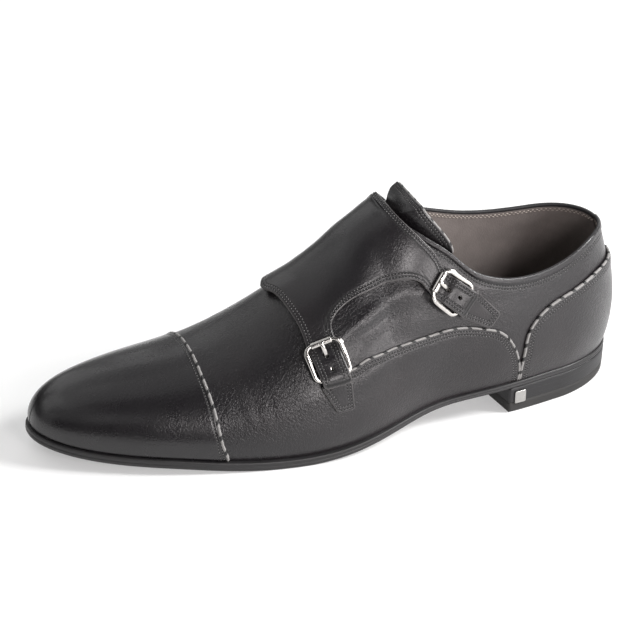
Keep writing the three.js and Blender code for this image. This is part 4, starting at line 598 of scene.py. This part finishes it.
for c in range(nc - 1):
    for j in range(nb + ns - 1):
        if (c, j+1) in idx and (c+1, j+1) in idx and (c, j) in idx and (c+1, j) in idx:
            if j >= nb - 1 and not ((isA[c] and isA[c+1]) or (isB[c] and isB[c+1])): continue
            F4.append([idx[(c, j)], idx[(c+1, j)], idx[(c+1, j+1)], idx[(c, j+1)]])
# free boundary of the flap as one loop of points, on the underside
path = [(0, j) for j in range(nb + ns)] + [(c, nb + ns - 1) for c in range(1, nv)] + [(nv-1, j) for j in range(nb + ns - 2, nb - 1, -1)] + [(c, nb - 1) for c in range(nv - 1, nc - nv + 1)] \
     + [(nc - nv, j) for j in range(nb, nb + ns)] + [(c, nb + ns - 1) for c in range(nc - nv + 1, nc)] + [(nc-1, j) for j in range(nb + ns - 2, -1, -1)] + [(c, 0) for c in range(nc - 2, 0, -1)]
loop = np.array([idx[q] for q in path]); flat = W(S_, W_, 0.0); closed = np.concatenate([flat[loop], flat[loop[:1]]])
dense, _ = resample(closed, step=.25)
rim = np.empty(len(S_))
for i in range(0, len(S_), 600): rim[i:i+600] = np.sqrt(((flat[i:i+600, None] - dense[None])**2).sum(-1).min(1))
# the straps' corners at their ends are rounded: pull those points in
for k, cs in (("upper", range(nv)), ("lower", range(nc - nv, nc))):
    for c in cs:
        v = VS[c - cs[0]]
        for j in range(nb, nb + ns):
            u = US[j - nb]; R_ = 2.2; du, dv = u - (REACH - R_), abs(v) - (7 - R_)
            if du > 0 and dv > 0:
                q = math.hypot(du, dv); m = max(du, dv)
                if q > 1e-6:
                    k2 = m/q; s1, t1 = PL[k].st(REACH - R_ + du*k2, math.copysign(7 - R_ + dv*k2, v)); S_[idx[(c, j)]] = s1; W_[idx[(c, j)]] = -(1 - t1)
flat_out = W(S_, W_, H_ + FLAP_T + edge_profile(rim, lip=.55, drop=.5, groove=.16)); flat_in = W(S_, W_, H_ + .12*(1 - smooth(rim/.4)))
GR = np.array([[idx[(c, j)] for j in range(nb)] for c in range(nc)])
def relax(P, times=7):
    """evens out the flap where the two sides of the opening meet under it, away from its edges"""
    A = P[GR].copy(); k = (.5*bell(W_[GR], .09)*smooth((rim[GR] - 3.4)/3))[..., None]
    for _ in range(times): m = A.copy(); m[1:-1, 1:-1] = (A[2:, 1:-1] + A[:-2, 1:-1] + A[1:-1, 2:] + A[1:-1, :-2])/4; A = A + k*(m - A)
    P = P.copy(); P[GR] = A; return P
flat_out, flat_in = relax(flat_out), relax(flat_in)
F4 = np.array(F4); n0 = len(S_); edges = {}
for f in F4:
    for a, b in zip(f, np.roll(f, -1)): edges[(a, b)] = 1
wall = [[b, a, a + n0, b + n0] for (a, b) in edges if (b, a) not in edges]
flap = mesh("monk_flap_leather", np.concatenate([flat_out, flat_in]), np.concatenate([F4, F4[:, ::-1] + n0, np.array(wall)]), [CALF_FLAP, LINING], index=np.concatenate([np.zeros(len(F4)), np.ones(len(F4)), np.zeros(len(wall))]), attr={"rim": np.concatenate([rim, rim])})
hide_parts("monk_flap")
def flap_rows():
    """stitch lines follow the free edge at fixed distances: taken from the columns and rows of the mesh"""
    nrm = lambda ids: Wn(S_[ids], W_[ids])
    for dist in (ROW1, ROW2):
        jc = int(np.argmin(np.abs(EDGE - dist))); ca = int(np.argmin(np.abs(half - dist)))
        top_of = lambda seq: np.array([idx[q] for q in seq])
        ju = nb + int(np.argmin(np.abs(US - (REACH - dist))))
        a = [(ca, j) for j in range(jc, ju + 1)]                                  # back edge and heel side of the upper strap
        z = [(nc - 1 - ca, j) for j in range(jc, ju + 1)]                         # front edge and toe side of the lower strap
        inner_a = [(nv - 1 - ca, j) for j in range(ju, nb, -1)]; inner_b = [(nc - nv + ca, j) for j in range(nb + 1, ju + 1)]
        mid = [(c, nb - 1 - jc) for c in range(nv - 1 - ca, nc - nv + ca + 1)]
        ends = [(c, jc) for c in range(ca, nc - ca)]
        for seq in (a, z, ends): ids = top_of(seq); stitches(THREADS, flat_out[ids], nrm(ids))
        ids = top_of(inner_a + mid + inner_b); P = flat_out[ids]; P, x, N = resample(P, step=.5, extra=(nrm(ids),)); g = np.exp(-(np.arange(-5, 6)/2.5)**2); g /= g.sum()
        P = np.stack([np.convolve(np.pad(P[:, k], 5, mode="reflect", reflect_type="odd"), g, "valid") for k in range(3)], 1); stitches(THREADS, P, N)
flap_rows()
# holes: one for the prong, one spare, cut right through each strap
def cutter(pl, u, v, ru, rv, h0, h1, n=28):
    a = np.arange(n)*2*np.pi/n; U, Vv = u + ru*np.cos(a), v + rv*np.sin(a); V = np.concatenate([pl.at(U, Vv, np.full(n, h0)), pl.at(U, Vv, np.full(n, h1))])
    me = bpy.data.meshes.new("cut"); me.from_pydata(((V + SHIFT)*.001).tolist(), [], [list(range(n))[::-1], list(range(n, 2*n))] + [[i, (i+1) % n, n + (i+1) % n, n + i] for i in range(n)])
    bm = bmesh.new(); bm.from_mesh(me); bmesh.ops.recalc_face_normals(bm, faces=bm.faces); bm.to_mesh(me); bm.free()
    me.materials.append(TREAD); o = bpy.data.objects.new("cut", me); bpy.context.collection.objects.link(o); return o
for pl in PL.values():
    for args in ((5.9, 0, 1.9, 1.35, -.6, 8.0), (13.0, 0, .95, .95, .6, 9.0)):
        c = cutter(pl, *args); m = flap.modifiers.new("hole", "BOOLEAN"); m.object = c; m.operation = "DIFFERENCE"; m.solver = "EXACT"
        dg = bpy.context.evaluated_depsgraph_get(); me = bpy.data.meshes.new_from_object(flap.evaluated_get(dg)); flap.modifiers.clear(); old = flap.data; n_old = len(old.vertices); flap.data = me
        print("hole", pl.name, n_old, "->", len(me.vertices)); bpy.data.objects.remove(c)

# ------------------------------------------------------------------ buckles
TOP_H, HINGE_H, HINGE = 4.15, 2.75, 17.6
lerp = lambda a, b, t: a + (b - a)*t
for name, pl in PL.items():
    hw = 10 - 1.25; level = lambda u: lerp(TOP_H, HINGE_H, smooth((np.asarray(u) - 1)/(HINGE - 1)))
    R1, R2, N = 4.2, 3.2, 12; bar, arm, hin = .8, 1.28, .9; pts = [(0, v, bar) for v in np.linspace(-3.6, 3.6, 7)]
    def arc(cu, cv, r, a0, a1, w0, w1):
        for i in range(N + 1): a = lerp(a0, a1, i/N); pts.append((cu + r*math.cos(a), cv + r*math.sin(a), lerp(w0, w1, smooth(i/N))))
    arc(R1, hw - R1, R1, math.pi, math.pi/2, bar, arm); pts += [(u, hw, arm) for u in np.linspace(R1 + 1.4, HINGE - R2 - 1.4, 7)]
    arc(HINGE - R2, hw - R2, R2, math.pi/2, 0, arm, hin); pts += [(HINGE, v, hin) for v in np.linspace(4.4, -4.4, 7)]
    arc(HINGE - R2, -hw + R2, R2, 0, -math.pi/2, hin, arm); pts += [(u, -hw, arm) for u in np.linspace(HINGE - R2 - 1.4, R1 + 1.4, 7)]
    arc(R1, -hw + R1, R1, -math.pi/2, -math.pi, arm, bar); pts = np.array(pts)
    C = pl.at(pts[:, 0], pts[:, 1], level(pts[:, 0])); U = pl.at(pts[:, 0], pts[:, 1], level(pts[:, 0]) + 1) - C
    ob = sweep(f"frame_{name}", C, U, pts[:, 2], np.minimum(pts[:, 2], 1.0)*1.0, NICKEL, closed=True, power=2.7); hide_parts(f"buckle_frame_{name}")
    # roller with softened ends and its rolled seam
    O = pl.at(0, 0, TOP_H); X = unit(pl.at(0, 3, TOP_H) - pl.at(0, -3, TOP_H)); up = unit(pl.at(0, 0, TOP_H + 1) - O); up = unit(up - X*(up @ X)); side = np.cross(X, up); ln = 2*(hw - R1) + 1.6
    prof = [(1.15, -ln/2 + .25), (1.15, -ln/2), (1.4, -ln/2), (1.62, -ln/2 + .05), (1.73, -ln/2 + .16), (1.75, -ln/2 + .34)] + [(1.75, y) for y in np.linspace(-ln/2 + 1.2, ln/2 - 1.2, 8)] + [(1.75, ln/2 - .34), (1.73, ln/2 - .16), (1.62, ln/2 - .05), (1.4, ln/2), (1.15, ln/2), (1.15, ln/2 - .25)]
    an = np.arange(48)*2*np.pi/48; seam = np.clip(1 - np.abs((an - 4.2 + np.pi) % (2*np.pi) - np.pi)/.09, 0, 1)*.16
    Vr = np.array([[O + X*y + (up*math.cos(a) + side*math.sin(a))*(r - (g if r > 1.7 else 0)) for r, y in prof] for a, g in zip(an, seam)]); n, m = Vr.shape[:2]
    ob = mesh(f"roller_{name}", Vr.reshape(-1, 3), np.concatenate([grid_faces(n, m, wrap=True), np.array([[i*m + m-1, ((i+1) % n)*m + m-1, ((i+1) % n)*m, i*m] for i in range(n)])]), NICKEL, weld=False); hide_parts(f"buckle_roller_{name}")
    # prong
    an = np.radians(np.linspace(150, -150, 16)); eye = [(HINGE + 1.6*math.cos(a), HINGE_H + 1.6*math.sin(a), 1.0, .42) for a in an]; eye = eye[::1]
    line = np.array([(14.2, 1.75), (11, 1.85), (8.2, 2.1), (6.4, 3.2), (4.6, 4.75), (2.6, 5.95), (.6, 6.62), (-.9, 6.6)]); x = np.linspace(0, len(line) - 1, 44); lu, lh = natural(np.arange(len(line)), line[:, 0])(x), natural(np.arange(len(line)), line[:, 1])(x)
    wd = np.interp(lu, [-.9, -.55, .3, 1.5], [.25, .62, .95, 1.05]); ht = np.interp(lu, [-.9, -.5, .5], [.2, .42, .62])
    ps = np.concatenate([np.array(eye)[:, :2], np.stack([lu, lh], 1)]); wd = np.concatenate([np.array(eye)[:, 2], wd]); ht = np.concatenate([np.array(eye)[:, 3], ht])
    tan = unit(np.gradient(ps, axis=0)); C = pl.at(ps[:, 0], 0*ps[:, 0], ps[:, 1]); U = pl.at(ps[:, 0] + tan[:, 1], 0*ps[:, 0], ps[:, 1] - tan[:, 0]) - C
    ob = sweep(f"prong_{name}", C, U, wd, ht, NICKEL, seg=18, power=2.3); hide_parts(f"buckle_prong_{name}")
    # tab: folded round the hinge bar, stitched down on the quarter
    TE = 39.5 if name == "upper" else 36.0; half_t = lambda u: np.interp(u, [HINGE, 20.4, 22.0, TE], [6.6, 7.3, 7.7, 4.7])
    uu = np.concatenate([np.linspace(20.4, TE - 5, 9)[:-1], TE - EDGE[EDGE < 5][::-1]]); vv = np.concatenate([-1 + EDGE/7.7*1.0, np.linspace(-1 + .82, 1 - .82, 7)[1:-1], (1 - EDGE/7.7)[::-1]])
    Ug, Kg = np.meshgrid(uu, vv, indexing='ij'); hw_ = half_t(Ug); Vg = np.sign(Kg)*(hw_ - np.minimum((1 - np.abs(Kg))*7.7, hw_*(1 - np.abs(Kg)*.0)*1.0*(1 - np.abs(Kg))/(1 - np.abs(Kg) + 1e-9)))
    Vg = np.where(np.abs(Kg) > .2, np.sign(Kg)*(hw_ - (1 - np.abs(Kg))*7.7*np.clip((hw_ - .2*7.7)/(7.7 - .2*7.7), .4, 1)), Kg*7.7)
    dist = np.minimum((hw_ - np.abs(Vg)), TE - Ug); R_ = 1.6; du, dv = Ug - (TE - R_), np.abs(Vg) - (hw_ - R_); corner = (du > 0) & (dv > 0); q = np.hypot(du, dv) + 1e-9; k2 = np.where(corner, np.maximum(du, dv)/q, 1)
    Ug = np.where(corner, TE - R_ + du*k2, Ug); Vg = np.where(corner, np.sign(Vg)*(hw_ - R_ + dv*k2), Vg)
    lift = np.interp(Ug, [17, 20.4, 23, 27, 36], [2.6, 2.5, 2.0, 1.35, 1.15])
    s, t = pl.st(Ug, Vg); To, Ti = off(s, t, -1.0, lift + edge_profile(dist, lip=.5, drop=.45, groove=.15)), off(s, t, -1.0, np.minimum(lift - .5, QUARTER + .1 + 0*lift))
    v, f, part = shell_grid(To, Ti); tab = mesh(f"tab_{name}", v, f, CALF_FLAP, attr={"rim": np.concatenate([dist.ravel(), dist.ravel()])}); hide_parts(f"buckle_tab_{name}")
    for r in (ROW1, ROW2):
        a = np.linspace(22.5, TE - r, 30); P1 = [(u, -(half_t(u) - r)) for u in a]; P2 = [(u, (half_t(u) - r)) for u in a[::-1]]; mid_ = [(TE - r, v) for v in np.linspace(-(half_t(TE - r) - r), half_t(TE - r) - r, 8)[1:-1]]
        q = np.array(P1 + mid_ + P2); s, t = pl.st(q[:, 0], q[:, 1]); hq = np.interp(q[:, 0], [17, 20.4, 23, 27, 36], [2.6, 2.5, 2.0, 1.35, 1.15]) - .14; stitches(THREADS, off(s, t, -1.0, hq), normal(s, t, -1.0))
    an = np.radians(np.linspace(-70, -318, 22)); lo = [(HINGE + 2.1*math.cos(a), HINGE_H + 2.1*math.sin(a)) for a in an]; li = [(HINGE + 1.1*math.cos(a), HINGE_H + 1.1*math.sin(a)) for a in an]
    lo += [(20.6, 2.45), (21.6, 2.2)]; li += [(20.2, 1.45), (21.6, 1.2)]; lo, li = np.array(lo), np.array(li)
    for i, (v0, v1) in enumerate(((-6.6, -1.5), (1.5, 6.6))):
        v_ = np.array([v0, v0 + .15, v0 + .6, (v0+v1)/2, v1 - .6, v1 - .15, v1]); dr = np.array([.3, .08, 0, 0, 0, .08, .3])
        mk = lambda q, sg: np.stack([pl.at(q[:, 0] + sg*dr[k]*(HINGE - q[:, 0])/2.1*(q[:, 0] < 20), np.full(len(q), v_[k]), q[:, 1] + sg*dr[k]*np.where(q[:, 0] < 20, (HINGE_H - q[:, 1])/2.1, -.6)) for k in range(7)], 1)
        # rim 3.0 lies in the leather's second stitch row band, so the whole loop takes the painted stitch-row shade
        # colour
        v, f, part = shell_grid(mk(lo, 1), mk(li, 0)); mesh(f"tab_loop_{name}_{i}", v, f, CALF_FLAP, attr={"rim": np.full(len(v), 3.0)})

# ------------------------------------------------------------------ sole, heel, sock
RG = np.interp(np.linspace(0, _d[-1], 210), _d, _x)[1:-1]
def ring3(pts, z): return np.stack([L/2 - pts[:, 0], pts[:, 1], z], 1)
def stack(rings): n = len(rings[0]); return np.concatenate(rings), grid_faces(len(rings), n), n
def stack_mesh(name, rings, mats, idx=None, rim=None, spine=True):
    """rings of equal length, closed above and below by rungs between the two halves of the end rings"""
    n = len(rings[0]); V = np.concatenate(rings); f = []
    mi = []
    for k in range(len(rings) - 1):
        for i in range(n): j = (i+1) % n; f.append([k*n + i, k*n + j, (k+1)*n + j, (k+1)*n + i]); mi.append(idx(k) if idx else 0)
    for o, kk in ((0, 0), ((len(rings)-1)*n, len(rings) - 2)):
        i, j = 1, n - 1; f.append([o, o + 1, o + n - 1]); mi.append(idx(kk) if idx else 0)
        while j - i > 1:
            q = [o + i, o + i + 1, o + j - 1, o + j] if j - i > 2 else [o + i, o + i + 1, o + j]
            f.append(q); mi.append(idx(kk) if idx else 0); i += 1; j -= 1
    return mesh(name, V, f, mats, index=mi, weld=False, attr=None if rim is None else {"rim": np.full(len(V), float(rim))})
zt = lambda s: seat(s)
def sole_ring(k, f, up=0.0): p = outline(lambda s: sole_edge(s) + k, RG); return ring3(p, lerp(zt(p[:, 0]) - .3 + up, sole_bottom(p[:, 0]), f))
rings = [sole_ring(-6, 0, .42), sole_ring(-2.9, 0, .5), sole_ring(-2.2, 0, .5), sole_ring(-1.5, 0, .42), sole_ring(-1.1, 0, .26), sole_ring(-.5, 0, .2), sole_ring(-.2, .0, .1), sole_ring(0, .12), sole_ring(.05, .3), sole_ring(.05, .40), sole_ring(-.12, .44), sole_ring(-.12, .47), sole_ring(.05, .51), sole_ring(.05, .7), sole_ring(-.02, .84), sole_ring(-.2, .93), sole_ring(-.5, .98), sole_ring(-.9, 1), sole_ring(-3.2, 1), sole_ring(-3.6, .955), sole_ring(-4.0, .955), sole_ring(-4.4, 1), sole_ring(-9, 1)]
sole = stack_mesh("outsole_detail", rings, [SOLE_MAT, TREAD], idx=lambda k: 1 if k >= 15 else 0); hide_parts("outsole")
tanb = math.tan(math.radians(7))
def heel_cut(k):
    whole = outline(lambda s: 1.2 + k, RG[RG < 125]); whole = whole[[i for i in range(len(whole)) if i != len(RG[RG < 125]) + 1]]; br = lambda p: 72 + p[1]*tanb + k*.5
    kept, n = [], len(whole)
    for i in range(n):
        p, q = whole[i], whole[(i+1) % n]; a, b = p[0] - br(p), q[0] - br(q)
        if a < -.4: kept.append(p)
        if a*b < 0: kept.append(p + (q - p)*a/(a - b))
    return np.array(kept)
def even(p, n=150):
    """even spacing round the ring but with the breast's corners kept: ring starts at the back"""
    q = np.concatenate([p, p[:1]]); d = np.concatenate([[0], np.cumsum(np.linalg.norm(np.diff(q, axis=0), axis=1))]); i = int(np.argmax(np.linalg.norm(np.diff(q, axis=0), axis=1)))
    a, b = d[i], d[i+1]; m1 = int(n*.41); m3 = n - 2*m1; x = np.concatenate([np.linspace(0, a, m1 + 1)[:-1], np.linspace(a, b, m3 + 1)[:-1], np.linspace(b, d[-1], m1 + 1)[:-1]])
    return np.stack([np.interp(x, d, q[:, 0]), np.interp(x, d, q[:, 1])], 1)
under = lambda s: sole_bottom(s) - .05
rows_h = [(-.25, 1), (0, .985), (0, .9), (-.03, .75), (-.08, .62), (-.12, .5), (-.17, .42), (-.19, .41), (-.42, .40), (-.42, .385), (-.2, .375), (-.25, .25), (-.35, .12), (-.5, .04), (-.8, 0), (-3, 0), (-6, 0)]
rings = []
for k, f in rows_h: p = even(heel_cut(k)); rings.append(ring3(p, under(p[:, 0])*f))
heel = stack_mesh("heel_block_detail", rings, [HEEL_MAT, TREAD], idx=lambda k: 1 if k >= 7 else 0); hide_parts("heel_block")
nails = []
pts = outline(lambda s: -6.5, RG[RG < 66])
pts = pts[[i for i in range(len(pts)) if i != len(RG[RG < 66]) + 1]]; dd = arc_len(np.concatenate([pts[len(pts)//2+1:], pts[:len(pts)//2]]))
# sock: follows the insole with a slight dish and a turned up edge
p_in = lambda k: outline(lambda s: -(WALL + .35 + k), RG)
rings = [ring3(p_in(0), zt(p_in(0)[:, 0]) + .1)] + [ring3(p_in(k), zt(p_in(k)[:, 0]) + z) for k, z in ((0, 2.2), (.5, 2.15), (1.4, 1.9), (3, 1.6), (6, 1.35), (10, 1.2), (15, 1.1))]
sock = stack_mesh("sock_lining", rings, LINING, rim=9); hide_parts("insole")

# badge: plain bevelled plate with a brushed face
s0, zc, hb = 61.6, 8.6, 3.2; a = outline(lambda s: 1.2, RG[RG < 125]); a = a[(a[:, 1] < 0) & (a[:, 0] > 5)]; o_ = np.argsort(a[:, 0]); yat = lambda s: np.interp(s, a[o_, 0], a[o_, 1]); slope = (yat(s0 + 4) - yat(s0 - 4))/8
cx = unit(np.array([-1, slope, 0.])); cn = unit(np.array([-slope, -1, 0.])); O = np.array([L/2 - s0, yat(s0) - .3, zc]); rr = []
for inset, dep in ((0, -.05), (0, .28), (.1, .42), (.28, .5), (.62, .5), (.78, .44), (.9, .44)):
    h1, h2, r = hb - inset, hb + .2 - inset, max(.3, .7 - inset); ring = []
    for qx, qz, a0 in ((1, 1, 0), (-1, 1, 90), (-1, -1, 180), (1, -1, 270)):
        for i in range(7): an_ = math.radians(a0 + i*15); ring.append(O + cx*(qx*(h1 - r) + r*math.cos(an_)) + np.array([0, 0, 1.])*(qz*(h2 - r) + r*math.sin(an_)) + cn*dep)
    rr.append(ring)
rr = np.array(rr); V = rr.reshape(-1, 3); n = 28; f = [[k*n + i, k*n + (i+1) % n, (k+1)*n + (i+1) % n, (k+1)*n + i] for k in range(len(rr) - 1) for i in range(n)] + [list(range(n))[::-1], [(len(rr)-1)*n + i for i in range(n)]]
badge = mesh("badge_plate", V, f, BRUSHED, weld=False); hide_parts("heel_badge")

flush("stitches_dark", THREADS, THREAD_DARK); flush("stitches_light", LIGHT, THREAD_LIGHT)

# ------------------------------------------------------------------ floor, light, camera
def stage_mesh(name, V, F_, m, smooth_=True):
    me = bpy.data.meshes.new(name); me.from_pydata(V, [], F_); me.materials.append(m); me.polygons.foreach_set("use_smooth", np.full(len(me.polygons), smooth_)); o = bpy.data.objects.new(name, me); bpy.context.collection.objects.link(o); o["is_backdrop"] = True; return o
m, nt, b = material("pale_floor", (.66, .66, .658), .7, spec=.2); b.inputs["Emission Color"].default_value = (1, 1, 1, 1); b.inputs["Emission Strength"].default_value = .34; nn = Nodes(nt); nz = nn.noise(2.5, 2, .5); nn.link(nn.mix(nn.span(nz, .3, .7, 0, 1), (.665, .665, .663), (.655, .655, .653)), b.inputs["Base Color"])
stage_mesh("floor", [(-8, -8, 0), (8, -8, 0), (8, 8, 0), (-8, 8, 0)], [(0, 1, 2, 3)], m)
def area(name, loc, aim, size, power, color=(1, 1, 1)):
    l = bpy.data.lights.new(name, "AREA"); l.shape = "RECTANGLE"; l.size, l.size_y = size; l.energy = power; l.color = color; o = bpy.data.objects.new(name, l); bpy.context.collection.objects.link(o)
    o.location = loc; o.rotation_euler = (Vector(aim) - Vector(loc)).to_track_quat('-Z', 'Y').to_euler(); return o
def dome(name, el, az_, watts, size=(.75, .75), dist=1.4):
    e, a = math.radians(el), math.radians(az_); area(name, (math.cos(a)*math.cos(e)*dist, math.sin(a)*math.cos(e)*dist, math.sin(e)*dist + .05), (0, 0, .05), size, watts*EXPOSE)
EXPOSE = 1.10
dome("key_heel_side", 38, 338, 23.5, (.45, .5)); dome("key_low", 15, 315, 2.0, (.4, .6)); dome("low_strip", 10, 297, 4.6, (.42, .34)); dome("side_strip", 24, 271, 6.4, (.34, .42)); dome("toe_fill", 33, 232, .3, (.4, .4))
for n_ in ("side_strip", "low_strip"): bpy.data.lights[n_].color = (1.0, .955, .955)
for e_, a_, w_ in ((15, 45, 2.4), (15, 90, .5), (15, 180, .7), (38, 68, 1.9), (38, 112, 1.9), (38, 158, 1.9), (38, 202, .6), (62, 120, .8), (62, 180, 1.0), (88, 0, .8)): dome(f"fill_{e_}_{a_}", e_, a_, w_)
wd = bpy.data.worlds.new("studio"); wd.use_nodes = True; bg = wd.node_tree.nodes["Background"]; bg.inputs[0].default_value = (1, 1, 1, 1); bg.inputs[1].default_value = .03; bpy.context.scene.world = wd
az, el, roll = [math.radians(x) for x in (-22.96, 29.22, 1.63)]
aim = np.array([-5.42, 0, 52.36]) + SHIFT; back = np.array([math.sin(az)*math.cos(el), -math.cos(az)*math.cos(el), math.sin(el)]); right = np.array([math.cos(az), math.sin(az), 0.]); up = np.cross(back, right)
r2, u2 = math.cos(roll)*right + math.sin(roll)*up, -math.sin(roll)*right + math.cos(roll)*up; pos = (aim + back*1600)*.001
cam = bpy.data.cameras.new("camera"); cam.sensor_width = 36; cam.lens = 3215/640*36; cam.clip_start = .05; co = bpy.data.objects.new("camera", cam); bpy.context.collection.objects.link(co)
from mathutils import Matrix
bpy.context.scene.view_settings.view_transform = "Standard"
co.matrix_world = Matrix(((r2[0], u2[0], back[0], pos[0]), (r2[1], u2[1], back[1], pos[1]), (r2[2], u2[2], back[2], pos[2]), (0, 0, 0, 1))); bpy.context.scene.camera = co

vis_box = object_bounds()
lst = lambda b: [[float(x) for x in v] for v in b]
{"cad": lst(CAD_BOX), "visual": lst(vis_box)}
for o in PIECES: print("piece", o.name, len(o.data.vertices), sum(len(p.vertices) - 2 for p in o.data.polygons))
